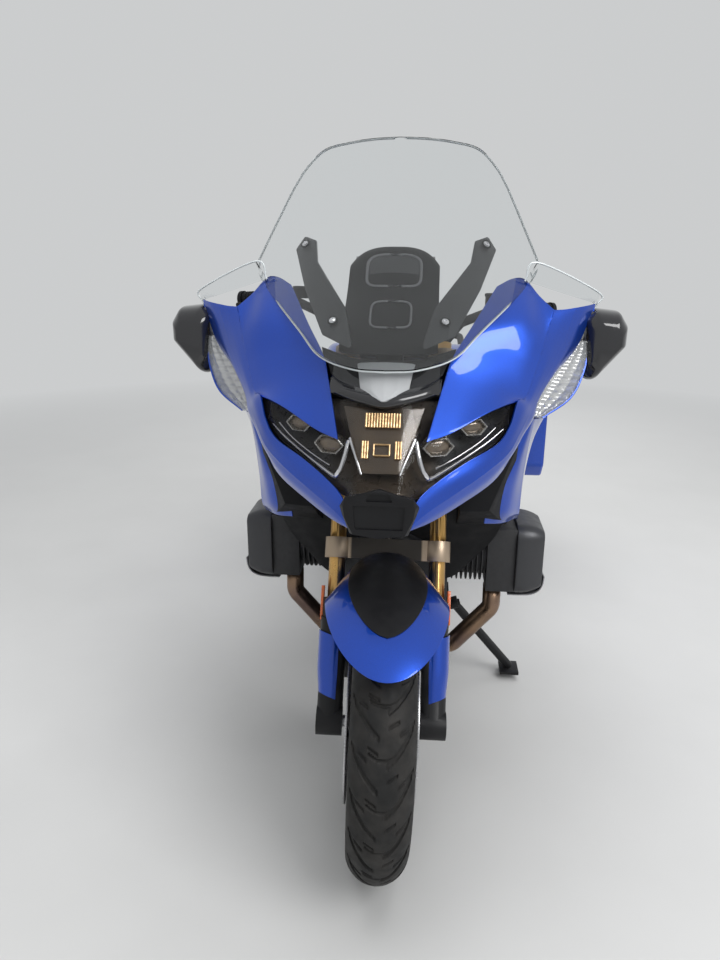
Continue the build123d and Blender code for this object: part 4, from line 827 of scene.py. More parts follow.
def mudguard_point(angle, x, lift=0.0):
    """The mudguard's surface: r = R(a) - D(a) |x / 120|^2.3, with R and D splined through a table,
    set at the angle a ahead of the wheel's top."""
    rise = curve(MUDGUARD_RISE, 400)[::-1]
    crown = np.interp(angle, rise[:, 0], rise[:, 1])
    drop = np.interp(angle, rise[:, 0], rise[:, 2])
    r = crown - drop * np.abs(x / 120.0) ** 2.3 + lift
    a = np.radians(angle)
    return np.stack([x, -r * np.sin(a), FRONT_AXLE_Z + r * np.cos(a)], -1)


def mudguard_half(angle):
    """Half width of the mudguard: an ellipse towards its front, then nearly straight."""
    front = 120.0 * np.sqrt(np.clip(1.0 - ((angle - 5.0) / 38.5) ** 2, 0.0, 1.0))
    rear = np.interp(angle, [-40, -30, -19, -9, 5], [82, 92, 110, 120, 120])
    return np.where(angle > 5.0, front, rear)


def insert_half(angle):
    """Half width of the black insert: two half ellipses that meet at 3 degrees."""
    ahead = np.clip(1.0 - ((angle - 3.0) / 27.0) ** 2, 0.0, 1.0) ** 0.62
    behind = np.clip(1.0 - ((angle - 3.0) / 40.0) ** 2, 0.0, 1.0) ** 0.5
    return 77.0 * np.where(angle > 3.0, ahead, behind)


def leg_band(side, low, high, radius, slant):
    """A band round the front and outer side of one fork leg, its ends slanted up towards the outside."""
    along, turn = np.meshgrid(np.linspace(low, high, 25), np.radians(np.linspace(-24, 112, 31)), indexing="ij")
    taper = radius - 5.0 * soft_step(-along, -low - 70.0, -low)
    along = along + slant * np.sin(turn)
    x = side * (FORK_SPACING + taper * np.sin(turn))
    forward = -taper * np.cos(turn)
    s = along * math.sin(RAKE) + forward * math.cos(RAKE)
    z = FRONT_AXLE_Z + along * math.cos(RAKE) - forward * math.sin(RAKE)
    grid = np.stack([x, s, z], -1)
    return grid if side > 0 else grid[:, ::-1]


class MOTO_OT_mudguard(bpy.types.Operator):
    """Makes the front mudguard with its black insert and the covers of the fork legs"""
    bl_idname = "moto.mudguard"
    bl_label = "Front mudguard"

    def execute(self, context):
        sizes = context.scene.moto_sizes
        across = np.linspace(-1.0, 1.0, 61)[None]
        angle = (43.5 - 83.5 * np.linspace(0.0, 1.0, 91) ** 1.5)[:, None]
        shell = steered(place(mudguard_point(angle + 0 * across, mudguard_half(angle) * across)))
        legs = [steered(place(leg_band(side, *LEG_COVER))) for side in (-1, 1)]
        build("mudguard_shell", [shell] + legs, "paint", "paint", "front_mudguard", body="steering_assembly",
              wall=sizes.panel_wall, bevel=0.0007)
        angle = (30.0 - 66.0 * np.linspace(0.0, 1.0, 81))[:, None]
        plate = steered(place(mudguard_point(angle + 0 * across, insert_half(angle) * across, 2.2)))
        build("mudguard_plate", [plate], "black_plastic", "satin", "mudguard_insert", body="steering_assembly",
              wall=0.0022, bevel=0.0006)
        caps = [steered(place(leg_band(side, *LEG_CAP))) for side in (-1, 1)]
        build("leg_caps", caps, "black_plastic", "satin", body="steering_assembly", wall=0.004, bevel=0.001)
        return {"FINISHED"}


# Guards below the cylinder heads: (x, z) of the bent plate, half its length, where the cylinders stand
GUARD_LINE = [(288, 437), (318, 437), (344, 440), (362, 450), (371, 466), (374, 490)]
GUARD_REACH, HEAD_MIDDLE, HEAD_STAGGER = 62.0, 425.0, 20.0
# Screws of a head cover as (s from its middle, z), and how far out they stand
SCREW_PLACES, SCREW_X = ((-48, 577), (48, 577), (-48, 497), (48, 497)), 362.0


class MOTO_OT_head_guards(bpy.types.Operator):
    """Makes the bent guards and the screws of the cylinder heads"""
    bl_idname = "moto.head_guards"
    bl_label = "Head guards"

    def execute(self, context):
        line = curve(GUARD_LINE, 40)
        plates, heads = [], []
        for side in (1, -1):
            middle = HEAD_MIDDLE - side * HEAD_STAGGER
            reach = np.linspace(-GUARD_REACH, GUARD_REACH, 25)[:, None]
            x, z = line[None, :, 0] + 0 * reach, line[None, :, 1] + 3.0 * (reach / GUARD_REACH) ** 4
            grid = np.stack([side * x, middle + reach + 0 * x, z], -1)
            plates.append(place(grid if side < 0 else grid[:, ::-1]))
            for s, z in SCREW_PLACES:
                heads.append(bolt((side * SCREW_X, middle + s, z), (side, 0, 0), 5.5))
        build("head_guards", plates, "grey_plastic", "guard", wall=0.003, bevel=0.0009)
        build("head_screws", heads, "steel", "steel", closed=True)
        return {"FINISHED"}


# Display hood: half its width, its side outline as (s, z), and the line up its front face
HOOD_HALF = 94.0
HOOD_SIDE = [(75, 1052), (150, 1060), (300, 1110), (348, 1240), (322, 1256), (250, 1180), (90, 1068)]
HOOD_FRONT = [(90, 1068), (170, 1124), (250, 1180), (286, 1218), (320, 1253)]
# Frames on it: middle as a share of that line, half width, half height as a share, lift, radius
DISPLAY_FRAMES = ((0.66, 56.0, 0.20, 1.5, 0.0032), (0.24, 40.0, 0.10, 1.0, 0.0024))


def hood_arch(points):
    """Lowers the hood's upper part towards its sides: z falls by 34 mm times the share of the height
    times the cube of |x| over half the hood's width."""
    share = np.clip((points[..., 2] - 1066.0) / 190.0, 0.0, 1.0)
    down = 34.0 * share * np.abs(points[..., 0] / HOOD_HALF) ** 3
    return points - down[..., None] * np.array([0.0, 0.55, 1.0])


def hood_point(share, x, lift):
    """A point of the hood's front, lifted square to it."""
    line = curve(HOOD_FRONT, 200)
    at = share * (len(line) - 1)
    s = np.interp(at, np.arange(len(line)), line[:, 0])
    z = np.interp(at, np.arange(len(line)), line[:, 1])
    s, z = (v - lift * k + 0 * x for v, k in ((s, 0.62), (z, -0.78)))
    return hood_arch(np.stack([x + 0 * s, s, z], -1))


def cut_corners(loop):
    """A closed outline with its corners cut off three times: each side keeps its middle 64 percent."""
    loop = np.asarray(loop, float)
    for _ in range(3):
        ahead = np.roll(loop, -1, axis=0)
        loop = np.stack([0.82 * loop + 0.18 * ahead, 0.18 * loop + 0.82 * ahead], 1).reshape(-1, loop.shape[1])
    return loop


def rounded_loop(half_x, half_y, corner):
    """A rounded rectangle as a superellipse, |x/a|^n + |y/b|^n = 1, its start repeated at its end."""
    t = np.linspace(0, 2 * math.pi, 96)
    power = 2.0 / corner
    return np.stack([half_x * np.sign(np.cos(t)) * np.abs(np.cos(t)) ** power,
                     half_y * np.sign(np.sin(t)) * np.abs(np.sin(t)) ** power], 1)


class MOTO_OT_display(bpy.types.Operator):
    """Makes the hood behind the screen with its frame and dark panel"""
    bl_idname = "moto.display"
    bl_label = "Display hood"

    def execute(self, context):
        side = cut_corners(HOOD_SIDE)
        x = HOOD_HALF * np.sin(np.linspace(-math.pi / 2, math.pi / 2, 41))[:, None]
        inset = 1.0 - 0.06 * np.abs(x / HOOD_HALF)[..., None] ** 8
        outline = side.mean(0) + (side[None] - side.mean(0)) * inset
        form = hood_arch(np.concatenate([x[..., None] + 0 * outline[..., :1], outline], -1))
        ends = np.repeat(form[[0, -1]].mean(1)[:, None], len(side), 1)
        form = np.concatenate([ends[:1], form, ends[1:]])
        build("display_hood", [place(form)], "black_plastic", "satin", "dash", closed=True, bevel=0.002)
        rings = []
        for middle, half_x, half_share, lift, radius in DISPLAY_FRAMES:
            loop = rounded_loop(half_x, half_share, 5.0)
            rings.append(tube(place(hood_point(middle + loop[:, 1], loop[:, 0], lift)), radius, 10))
        build("display_frames", rings, "grey_plastic", "guard", closed=True)
        up, across = np.linspace(-1.0, 1.0, 25)[:, None], np.linspace(-1.0, 1.0, 49)[None]
        grid = hood_point(0.66 + 0.185 * up + 0 * across, 52.0 * across + 0 * up, 1.6)
        build("display_back", [place(grid)], "display", "grey", wall=0.001)
        return {"FINISHED"}


# Indicators, in the gap between the wing's edge and the side
INDICATOR_NET = [
    [(381, 264, 1064), (392, 268, 1064), (402, 275, 1065), (411, 285, 1066)],
    [(354, 234, 1034), (376, 246, 1034), (394, 257, 1034), (406, 271, 1032)],
    [(330, 212, 1000), (354, 222, 998), (376, 236, 996), (395, 256, 992)],
    [(305, 188, 966), (328, 198, 962), (350, 212, 958), (372, 230, 954)],
    [(287, 160, 926), (294, 164, 924), (301, 170, 922), (309, 180, 920)],
]
# Flutes of the reflector behind: depth and number, down it and across it
FLUTES_DOWN, FLUTES_ACROSS = (1.6, 11), (3.0, 1.5)


class MOTO_OT_indicators(bpy.types.Operator):
    """Makes the clear indicator fronts and the fluted reflectors behind them"""
    bl_idname = "moto.indicators"
    bl_label = "Indicators"

    def execute(self, context):
        net = np.array(INDICATOR_NET, float)
        clear = both_sides(sheet(net + np.array([0, 3, 0]), 41, 31))
        build("indicator_glass", clear, "lens", "clear_lens", "indicator_lenses", wall=0.002)
        grid = patch(net + np.array([0, 16, 0]), 121, 81)
        rows, columns = np.meshgrid(np.linspace(0, 1, 121), np.linspace(0, 1, 81), indexing="ij")
        grid[..., 1] += (FLUTES_DOWN[0] * np.cos(rows * 2 * math.pi * FLUTES_DOWN[1])
                         + FLUTES_ACROSS[0] * np.abs(np.sin(columns * 2 * math.pi * FLUTES_ACROSS[1])))
        build("indicator_flutes", both_sides(place(grid)), "lamp", "fluted", wall=0.002)
        return {"FINISHED"}


# Tyres: radius, width, bead width and shoulder drop in millimetres, and the tread's pitches
TYRES = {
    "front_tyre": ("front_wheel", 300.0, 119.0, 89.0, 38.0, 21),
    "rear_tyre": ("rear_wheel", 315.0, 180.0, 140.0, 54.0, 21),
}
BEAD_RADIUS, SEAT_RADIUS, LIP = 220.0, 216.0, 8.0
REAR_AXLE_Z = 323.0
# Corners across the crown and round the wheel, and the tread's depth
CROWN_STEPS, ROUND_STEPS, TREAD_DEPTH = 81, 840, 4.4
# Grooves: start c, inner and outer end w, reach L, power p, width, and whether both sides share one
GROOVES = ((0.0, 0.10, 0.84, 1.05, 1.4, 8.5, 0), (0.46, 0.40, 0.92, 0.5, 1.2, 7.0, 0),
           (0.70, 0.12, 0.38, 0.45, 1.0, 5.5, 0), (0.15, -1.0, 0.36, 0.9, 2.0, 5.0, 1))


def arc_through(a, b, c, samples):
    """Points of the circle arc from a over b to c."""
    (ax, ay), (bx, by), (cx, cy) = a, b, c
    d = 2 * (ax * (by - cy) + bx * (cy - ay) + cx * (ay - by))
    aa, bb, cc = ax * ax + ay * ay, bx * bx + by * by, cx * cx + cy * cy
    ux = (aa * (by - cy) + bb * (cy - ay) + cc * (ay - by)) / d
    uy = (aa * (cx - bx) + bb * (ax - cx) + cc * (bx - ax)) / d
    start, middle, end = (math.atan2(p[1] - uy, p[0] - ux) for p in (a, b, c))
    span = (end - start) % (2 * math.pi)
    if (middle - start) % (2 * math.pi) > span:
        span -= 2 * math.pi
    angle = start + np.linspace(0.0, span, samples)
    radius = math.hypot(ax - ux, ay - uy)
    return np.stack([ux + radius * np.cos(angle), uy + radius * np.sin(angle)], 1)


def groove_depth(around, across, half_arc, pitch):
    """Tread depth at millimetres around and across: on each side swept grooves run from near the
    middle to the shoulder, u = c + L w^p, with shorter ones between them, and an arch crosses the
    middle once a pitch."""
    side = np.where(across >= 0, 1.0, -1.0)
    w = np.abs(across) / half_arc
    shift = np.where(side > 0, 0.0, 0.5) * pitch
    depth = np.zeros(np.broadcast(around, across).shape)
    for start, inner, outer, reach, power, width, both in GROOVES:
        centre = shift * (1 - both) + start * pitch + reach * pitch * w ** power
        away = np.abs((around - centre + pitch / 2) % pitch - pitch / 2)
        slope = reach * pitch * power * w ** (power - 1) / half_arc
        away = away / np.sqrt(1 + slope ** 2)
        cut = 1 - soft_step(away, width / 2 - 0.9, width / 2 + 0.9)
        cut = cut * soft_step(w, inner - 0.02, inner + 0.02) * (1 - soft_step(w, outer - 0.02, outer + 0.02))
        depth = np.maximum(depth, cut)
    return depth * TREAD_DEPTH


def tyre_grid(radius, width, rim_width, drop, pitches):
    """The tyre's skin about the X axis: crown arc with tread, side walls and beads."""
    half, bead = width / 2, rim_width / 2
    shoulder = (half * 0.96, radius - drop)
    widest = (half, (SEAT_RADIUS + LIP + radius - drop) / 2)
    crown = arc_through((-shoulder[0], shoulder[1]), (0.0, radius), shoulder, CROWN_STEPS)
    wall = arc_through(shoulder, widest, (bead, BEAD_RADIUS), 13)[1:]
    seat = np.array([(bead, SEAT_RADIUS), (-bead, SEAT_RADIUS)])
    profile = np.concatenate([crown, wall, seat, wall[::-1] * np.array([-1.0, 1.0]), crown[:1]])
    around = np.linspace(0, 2 * math.pi, ROUND_STEPS, endpoint=False)
    rounded = np.concatenate([[0.0], np.cumsum(np.hypot(*np.diff(crown, axis=0).T))])
    across = rounded - rounded[-1] / 2
    depth = groove_depth(around[:, None] * radius, across[None], rounded[-1] / 2,
                         2 * math.pi * radius / pitches)
    reach = np.broadcast_to(profile[:, 1], (ROUND_STEPS, len(profile))).copy()
    reach[:, :len(crown)] -= depth
    reach[:, -1] = reach[:, 0]
    x = np.broadcast_to(profile[:, 0], reach.shape)
    grid = np.stack([x, reach * np.sin(around)[:, None], reach * np.cos(around)[:, None]], -1)
    return grid.transpose(1, 0, 2)


class MOTO_OT_tyres(bpy.types.Operator):
    """Makes both tyres with their tread"""
    bl_idname = "moto.tyres"
    bl_label = "Tyres"

    def execute(self, context):
        for node, (body, radius, width, rim_width, drop, pitches) in TYRES.items():
            grid = tyre_grid(radius, width, rim_width, drop, pitches)
            if node == "front_tyre":
                grid = steered(place(grid + np.array([0.0, 0.0, radius])))
            else:
                grid = place(grid + np.array([0.0, WHEELBASE * 1000, REAR_AXLE_Z]))
            build(node + "_tread", [grid], "tyre", "rubber", node, body=body, closed=True, smooth_deg=40.0)
        return {"FINISHED"}


# Cushions: size of the remeshed grid, how far it starts drawn in, pressure, and how far cloth may move
CUSHION_VOXEL, CUSHION_INSET, CUSHION_PRESSURE, CUSHION_CAP = 0.006, 0.003, 4.0, 0.008


def padded_copy(node, frames):
    """A cushion from a packed form: welded, remeshed, drawn in a little, then blown up as cloth with
    its points moved no further than a cap."""
    piece = welded_copy(node, "_cushion")
    remesh = piece.modifiers.new("skin", "REMESH")
    remesh.mode = "VOXEL"
    remesh.voxel_size = CUSHION_VOXEL
    mesh = as_shown(piece)
    piece.modifiers.clear()
    piece.data = mesh
    start = points_of(mesh) - points_of(mesh, "normal") * CUSHION_INSET
    mesh.vertices.foreach_set("co", start.reshape(-1))
    cloth = piece.modifiers.new("cloth", "CLOTH")
    cloth.settings.use_pressure = True
    cloth.settings.uniform_pressure_force = CUSHION_PRESSURE
    cloth.settings.effector_weights.gravity = 0.0
    scene = bpy.context.scene
    for number in range(1, frames + 1):
        scene.frame_set(number)
    step = points_of(as_shown(piece)) - start
    length = np.linalg.norm(step, axis=1, keepdims=True)
    step *= np.minimum(1.0, CUSHION_CAP / np.maximum(length, 1e-9))
    piece.modifiers.clear()
    mesh.vertices.foreach_set("co", (start + step).reshape(-1))
    scene.frame_set(1)
    smooth = piece.modifiers.new("round", "SUBSURF")
    smooth.levels = smooth.render_levels = 1
    return finished_mesh(piece, 60.0)


def surface_finder(mesh):
    """A search tree of a mesh's faces, and its points."""
    points = points_of(mesh)
    return BVHTree.FromPolygons(points.tolist(), [tuple(face.vertices) for face in mesh.polygons]), points


def laid_on(tree, plan, sink=0.0):
    """Points in plan, in metres, laid on the surface below them."""
    path = [tree.ray_cast(Vector((x, y, 2.0)), Vector((0, 0, -1)))[0] for x, y in plan]
    if any(point is None for point in path):
        raise RuntimeError("a point has no surface below it")
    return np.array(path) - np.array([0.0, 0.0, sink])


# Piping: share of the width, share of the length left free at each end, steps along it, and where
# the cross seams are
PIPING_SHARE, PIPING_END, PIPING_STEPS, CROSS_SEAMS = 0.84, 0.07, 40, (0.36, 0.68)


def seam_paths(piece):
    """Piping round the top at a share of the width found at each place along it, and cross seams."""
    tree, points = surface_finder(piece.data)
    low, high = points[:, 1].min(), points[:, 1].max()
    along = np.linspace(low + PIPING_END * (high - low), high - PIPING_END * (high - low), PIPING_STEPS)
    half = PIPING_SHARE * np.array([np.abs(points[np.abs(points[:, 1] - y) < 0.014, 0]).max() for y in along])
    fade = np.sqrt(np.clip(1.0 - np.linspace(-1, 1, PIPING_STEPS) ** 12, 0.15, 1.0))
    edge = np.concatenate([np.stack([half * fade, along], 1), np.stack([-half * fade, along], 1)[::-1]])
    loop = np.concatenate([edge, edge[:1]])
    at = np.linspace(0, len(loop) - 1, 320)
    plan = np.stack([np.interp(at, np.arange(len(loop)), loop[:, k]) for k in (0, 1)], 1)
    paths = [(laid_on(tree, plan, 0.0004), 0.0019)]
    for share in CROSS_SEAMS:
        row = int(share * (PIPING_STEPS - 1))
        x = np.linspace(-half[row], half[row], 60)
        plan = np.stack([x, along[row] + 0.012 * (x / half[row]) ** 2], 1)
        paths.append((laid_on(tree, plan, 0.0006), 0.0014))
    return paths


class MOTO_OT_seats(bpy.types.Operator):
    """Makes the rider's and the passenger's padded seats and their seams"""
    bl_idname = "moto.seats"
    bl_label = "Seats"

    def execute(self, context):
        frames = context.scene.moto_sizes.cloth_frames
        seams = []
        for node, fill in (("rider_seat", 0.6), ("passenger_seat", 0.65)):
            seat = padded_copy(node, frames)
            seams += [tube(path, radius, 8) for path, radius in seam_paths(seat)]
            settle(seat, "chassis", "cover", (node,))
        build("seat_piping", seams, "seat", "grain", closed=True)
        return {"FINISHED"}


# Bar controls on the rider's left: lever and its radii at shares of it, bracket, reservoir and grip
LEVER_LINE = [(262, 540, 1118), (282, 520, 1114), (320, 524, 1109), (362, 544, 1105), (400, 566, 1101)]
LEVER_RADII = ([0, 0.2, 0.9, 1], [7, 5, 4.5, 6])
BRACKET_LINE = [(262, 554, 1124), (258, 546, 1121), (254, 538, 1118), (244, 540, 1122)]
POT_PROFILE = [(0, 0), (0, 19), (20, 19), (21, 21), (27, 21), (28, 18), (28, 0)]
POT_PLACE = np.array([236.0, 540.0, 1124.0])
GRIP_INNER, GRIP_END = np.array([275.0, 560.0, 1125.0]), np.array([395.0, 610.0, 1112.0])
GRIP_RIBS = 14


def grip_profile(length):
    """The grip's (along, radius): its ribs and the weight at its end."""
    profile = [(4.0, 0.0), (4.0, 17.4)]
    for k in range(GRIP_RIBS):
        start = 8.0 + k * (length - 20.0) / GRIP_RIBS
        profile += [(start, 17.5), (start + 1.0, 19.0), (start + 4.5, 19.0), (start + 5.5, 17.5)]
    return profile + [(length - 7.0, 17.5), (length - 7.0, 21.0), (length + 3.0, 21.0), (length + 6.0, 15.0),
                      (length + 6.0, 0.0)]


class MOTO_OT_controls(bpy.types.Operator):
    """Makes the hand levers, their reservoirs and the ribs of the grips"""
    bl_idname = "moto.controls"
    bl_label = "Bar controls"

    def execute(self, context):
        levers, pots, ribs = [], [], []
        axis = GRIP_END - GRIP_INNER
        profile = grip_profile(float(np.linalg.norm(axis)))
        radii = np.interp(np.linspace(0, 1, 40), *LEVER_RADII)
        for side in (1, -1):
            turn = np.array([side, 1.0, 1.0])
            lever = tube(curve(np.array(LEVER_LINE, float) * turn, 40), radii, 14)
            levers.append(steered(place(lever)))
            ribs.append(steered(place(spun(profile, GRIP_INNER * turn, axis * turn, 32))))
            pots.append(steered(place(spun(POT_PROFILE, POT_PLACE * turn, (0, 0.1, 1), 32))))
            pots.append(steered(place(tube(np.array(BRACKET_LINE) * turn, 10.0, 16))))
        bar = {"body": "steering_assembly", "closed": True}
        build("grip_ribs", ribs, "black_plastic", "grain", **bar)
        build("hand_levers", levers, "black_plastic", "satin", **bar)
        build("lever_reservoirs", pots, "black_plastic", "grain", bevel=0.0006, **bar)
        return {"FINISHED"}


# Console on the tank: where it starts, narrows and ends, its half width there, and what it loses
CONSOLE_START, CONSOLE_NARROWS, CONSOLE_END, CONSOLE_HALF, CONSOLE_LOSS = 545.0, 640.0, 800.0, 62.0, 24.0
# The filler cap's (height, radius), in metres
CAP_PROFILE = [(0, 0), (0, 0.046), (0.004, 0.046), (0.006, 0.043), (0.006, 0.034), (0.004, 0.032),
               (0.004, 0.029), (0.009, 0.027), (0.010, 0.024), (0.010, 0)]


class MOTO_OT_tank_console(bpy.types.Operator):
    """Makes the dark console on the tank with its filler cap"""
    bl_idname = "moto.tank_console"
    bl_label = "Tank console"

    def execute(self, context):
        tree = surface_finder(frame["nodes"]["tank_cover"].data)[0]
        rows, columns = 49, 25
        s = np.linspace(CONSOLE_START, CONSOLE_END, rows)
        half = CONSOLE_HALF - CONSOLE_LOSS * soft_step(s, CONSOLE_NARROWS, CONSOLE_END)
        x = half[:, None] * np.linspace(-1, 1, columns)[None]
        plan = place(np.stack([x, np.repeat(s[:, None], columns, 1), 0 * x], -1))[..., :2].reshape(-1, 2)
        grid = laid_on(tree, plan).reshape(rows, columns, 3)
        rise = 0.004 * (1.0 - np.abs(np.linspace(-1, 1, columns))[None] ** 6)
        grid[..., 2] += rise * (1.0 - np.abs(np.linspace(-1, 1, rows))[:, None] ** 10) - 0.0004
        build("tank_console", [grid], "black_plastic", "grain", wall=0.002, bevel=0.0006)
        top = laid_on(tree, place([[0.0, CONSOLE_NARROWS, 0.0]])[:, :2])[0] + np.array([0, 0, 0.002])
        build("filler_cap", [spun(CAP_PROFILE, top, (0, 0.06, 1), 64)], "steel", "grey", closed=True)
        return {"FINISHED"}


# Air duct behind each blade, in front of the cylinder's inner end
DUCT_NET = [[(118, 196, 722), (190, 204, 714), (256, 244, 702)],
            [(120, 250, 640), (190, 262, 636), (254, 290, 642)],
            [(118, 296, 566), (176, 306, 562), (234, 322, 586)],
            [(112, 308, 492), (152, 314, 500), (196, 326, 540)]]


class MOTO_OT_ducts(bpy.types.Operator):
    """Makes the dark ducts between the fairing and the cylinders"""
    bl_idname = "moto.ducts"
    bl_label = "Ducts"

    def execute(self, context):
        build("lower_ducts", both_sides(sheet(DUCT_NET, 25, 25)), "black_plastic", "grain", wall=0.003,
              bevel=0.0006)
        return {"FINISHED"}


# Outline of a side case seen from its side, as (s, z)
CASE_SIDE = [(1225, 480), (1675, 480), (1745, 590), (1745, 782), (1685, 842), (1255, 842), (1185, 772),
             (1185, 530)]
CASE_MIDDLE, CASE_FACE = np.array([1465.0, 661.0]), 377.0
# A catch's line as (x, z) and its places along the case
CATCH_LINE, CATCH_PLACES = ((356.0, 843.0), (362.0, 847.0), (368.0, 845.5)), (1320.0, 1590.0)
# The plate: top and foot of its plane, half its width, its rows as shares of the plane, and its lift
PLATE_TOP, PLATE_FOOT = np.array([0.0, 1740.0, 800.0]), np.array([0.0, 1921.0, 560.0])
PLATE_HALF, PLATE_ROWS, PLATE_LIFT = 84.0, np.array([0.30, 0.60, 0.92]), np.array([0.0, 2.4, 1.8])


class MOTO_OT_case_trims(bpy.types.Operator):
    """Makes the trims and catches of the side cases and the blank plate at the tail"""
    bl_idname = "moto.case_trims"
    bl_label = "Case trims"

    def execute(self, context):
        loop = cut_corners(CASE_SIDE)
        loop = np.concatenate([loop, loop[:1]])
        for side, body in ((1, "left_case_lid"), (-1, "right_case_lid")):
            outline = CASE_MIDDLE + (loop - CASE_MIDDLE) * 1.003
            ring = np.concatenate([np.full((len(loop), 1), side * CASE_FACE), outline], 1)
            build(f"case_trim_{body}", [tube(place(ring), 0.0028, 10)], "grey_plastic", "guard", body=body,
                  closed=True)
        catches = [place(tube(curve([(side * x, s, z) for x, z in CATCH_LINE], 12), 7.0, 16))
                   for side in (1, -1) for s in CATCH_PLACES]
        rows = PLATE_TOP + (PLATE_FOOT - PLATE_TOP) * PLATE_ROWS[:, None] + PLATE_LIFT
        x = PLATE_HALF * np.array([-1.0, 0.0, 1.0])
        grid = rows[:, None] + x[None, :, None] * np.array([1.0, 0.0, 0.0])
        build("blank_plate", [place(grid)], "grey_plastic", "guard", wall=0.0016, bevel=0.0004)
        build("case_catches", catches, "black_plastic", "grain", closed=True)
        return {"FINISHED"}


class MOTO_OT_frame_parts(bpy.types.Operator):
    """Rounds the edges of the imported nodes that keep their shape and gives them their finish"""
    bl_idname = "moto.frame_parts"
    bl_label = "Frame parts"

    def execute(self, context):
        for body, nodes in REFINED_NODES.items():
            for node, (slot, finish, bevel) in nodes.items():
                settle(refined(node, bevel), body, finish, (node,))
        return {"FINISHED"}


class MOTO_OT_stage(bpy.types.Operator):
    """Sets the camera, the pale floor, the soft lamps and the surroundings"""
    bl_idname = "moto.stage"
    bl_label = "Stage"

    def execute(self, context):
        stage = context.scene.moto_stage
        make_camera(stage)
        make_floor(stage)
        make_lamps(stage)
        make_surroundings()
        context.scene.view_settings.view_transform = "Standard"
        return {"FINISHED"}


def show(name, data, axes, place_m):
    """A camera or lamp with given axes (right, up and back) and place."""
    thing = bpy.data.objects.new(name, data)
    thing.matrix_world = Matrix([(*row, at) for row, at in zip(np.stack(axes, 1).tolist(), place_m)]
                                + [(0, 0, 0, 1)])
    bpy.context.scene.collection.objects.link(thing)
    return thing


def make_camera(stage):
    """A camera with the picture's pitch, turn and roll: its axes are worked out from them."""
    pitch, turn, roll = stage.camera_pitch, stage.camera_turn, stage.camera_roll
    ahead = np.array([-math.sin(turn) * math.cos(pitch), math.cos(turn) * math.cos(pitch), -math.sin(pitch)])
    level = np.array([math.cos(turn), math.sin(turn), 0.0])
    up = np.cross(level, ahead)
    right = level * math.cos(roll) + up * math.sin(roll)
    up = up * math.cos(roll) - level * math.sin(roll)
    data = bpy.data.cameras.new("camera")
    data.sensor_fit = "VERTICAL"
    data.sensor_height = 24.0
    data.lens = stage.focal_share * data.sensor_height
    data.clip_start = 0.02
    bpy.context.scene.camera = show("camera", data, (right, up, -ahead), stage.camera_place)


# Colour of the background, the floor's half width and where it fades, and the strength of the light
PALE = (0.60, 0.61, 0.615, 1.0)
FLOOR_HALF, FADE_START, FADE_END = 30.0, 1.8, 5.5
SKY, SKY_STRENGTH = (0.95, 0.98, 1.0, 1.0), 0.34
LOOK_AT = np.array([0.0, 0.0, 0.7])


def fade_floor(finish):
    """Lets the floor pass into the pale background between two distances from the middle."""
    away = shader_node(finish.tree, "VectorMath", finish.place, operation="LENGTH")
    share = finish.spread(away.outputs["Value"], 0.0, 1.0, FADE_START, FADE_END)
    plain = shader_node(finish.tree, "Emission", Color=PALE)
    mix = shader_node(finish.tree, "MixShader", share, finish.shader, plain)
    finish.tree.links.new(mix.outputs["Shader"], finish.tree.nodes["Material Output"].inputs["Surface"])


def make_floor(stage):
    """A wide, plain, pale floor."""
    corners = [(x * FLOOR_HALF, y * FLOOR_HALF, 0.0) for x, y in ((-1, -1), (1, -1), (-1, 1), (1, 1))]
    mesh = bpy.data.meshes.new("floor")
    mesh.from_pydata(corners, [], [(0, 1, 3, 2)])
    floor = new_object("floor", mesh)
    tone = stage.floor_tone
    finish = Finish("floor", "pale floor", (tone, tone, tone * 0.99), 0.85, Specular_IOR_Level=0.2)
    finish.mottled(3.0, (tone * 0.97, tone * 0.97, tone * 0.96))
    fade_floor(finish)
    floor.data.materials.append(finish.material)


# Soft lamps: place, size and power
LAMPS = {
    "key": ((2.6, -3.0, 3.6), 2.4, 130.0),
    "fill": ((-3.2, -3.0, 2.4), 2.6, 16.0),
    "top": ((0.0, -0.4, 4.0), 3.6, 110.0),
    "rear": ((0.5, 4.2, 2.6), 2.6, 70.0),
}


def make_lamps(stage):
    """Square soft lamps that look at the machine's middle."""
    for name, (where, size, power) in LAMPS.items():
        data = bpy.data.lights.new(name, "AREA")
        data.size = size
        data.energy = power * stage.lamp_level
        back = np.array(where) - LOOK_AT
        back /= np.linalg.norm(back)
        side = np.cross((0.0, 0.0, 1.0), back)
        side /= np.linalg.norm(side)
        lamp = show(name, data, (side, np.cross(back, side), back), where)
        lamp.visible_glossy = name == "key"
        lamp.visible_transmission = False


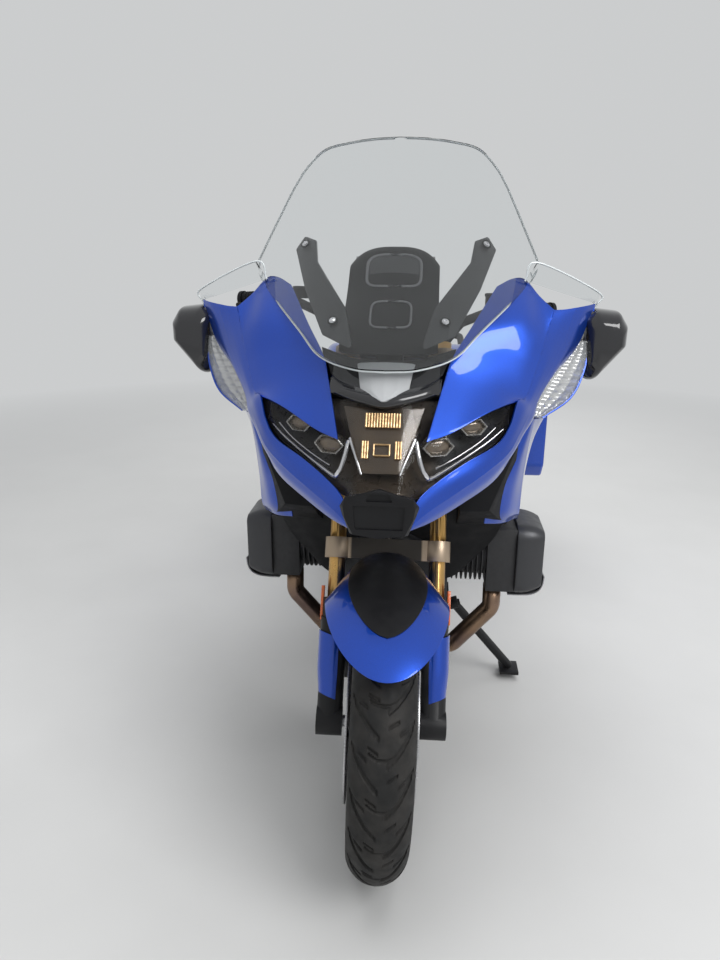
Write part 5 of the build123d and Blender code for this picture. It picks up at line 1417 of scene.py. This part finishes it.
def make_surroundings():
    """A pale background for what is seen, mirrored or looked through, and a weaker light for the rest."""
    world = bpy.data.worlds.new("surroundings")
    world.use_nodes = True
    bpy.context.scene.world = world
    tree = world.node_tree
    tree.nodes.clear()
    rays = shader_node(tree, "LightPath").outputs
    through = shader_node(tree, "Math", rays["Is Glossy Ray"], rays["Is Transmission Ray"], operation="MAXIMUM")
    seen = shader_node(tree, "Math", rays["Is Camera Ray"], through, operation="MAXIMUM")
    light = shader_node(tree, "Background", Color=SKY, Strength=SKY_STRENGTH)
    pale = shader_node(tree, "Background", Color=PALE)
    shader_node(tree, "OutputWorld", shader_node(tree, "MixShader", seen, light, pale))


class MOTO_PT_parts(bpy.types.Panel):
    """Lists the pieces of the machine and the sizes and colours that can be changed"""
    bl_idname = "MOTO_PT_parts"
    bl_label = "Touring motorcycle"
    bl_space_type = "VIEW_3D"
    bl_region_type = "UI"
    bl_category = "Motorcycle"

    def draw(self, context):
        for group in (context.scene.moto_colours, context.scene.moto_sizes, context.scene.moto_stage):
            box = self.layout.box()
            for key in group.__annotations__:
                box.prop(group, key)
        for operator in OPERATORS:
            self.layout.operator(operator.bl_idname)


OPERATORS = (MOTO_OT_finishes, MOTO_OT_fairing, MOTO_OT_headlight, MOTO_OT_cowl, MOTO_OT_screen,
             MOTO_OT_display, MOTO_OT_indicators, MOTO_OT_mudguard, MOTO_OT_head_guards, MOTO_OT_tyres,
             MOTO_OT_seats, MOTO_OT_controls, MOTO_OT_tank_console, MOTO_OT_ducts, MOTO_OT_case_trims,
             MOTO_OT_frame_parts, MOTO_OT_stage)
GROUPS = {"moto_colours": MachineColours, "moto_sizes": MachineSizes, "moto_stage": StageSettings}


def register():
    for group in GROUPS.values():
        bpy.utils.register_class(group)
    for name, group in GROUPS.items():
        setattr(bpy.types.Scene, name, PointerProperty(type=group))
    for operator in OPERATORS:
        bpy.utils.register_class(operator)
    bpy.utils.register_class(MOTO_PT_parts)


def unregister():
    bpy.utils.unregister_class(MOTO_PT_parts)
    for operator in reversed(OPERATORS):
        bpy.utils.unregister_class(operator)
    for name in GROUPS:
        delattr(bpy.types.Scene, name)
    for group in GROUPS.values():
        bpy.utils.unregister_class(group)


def main():
    """Builds every piece in order."""
    register()
    for operator in OPERATORS:
        group, name = operator.bl_idname.split(".")
        getattr(getattr(bpy.ops, group), name)()


if __name__ == "__main__":
    main()
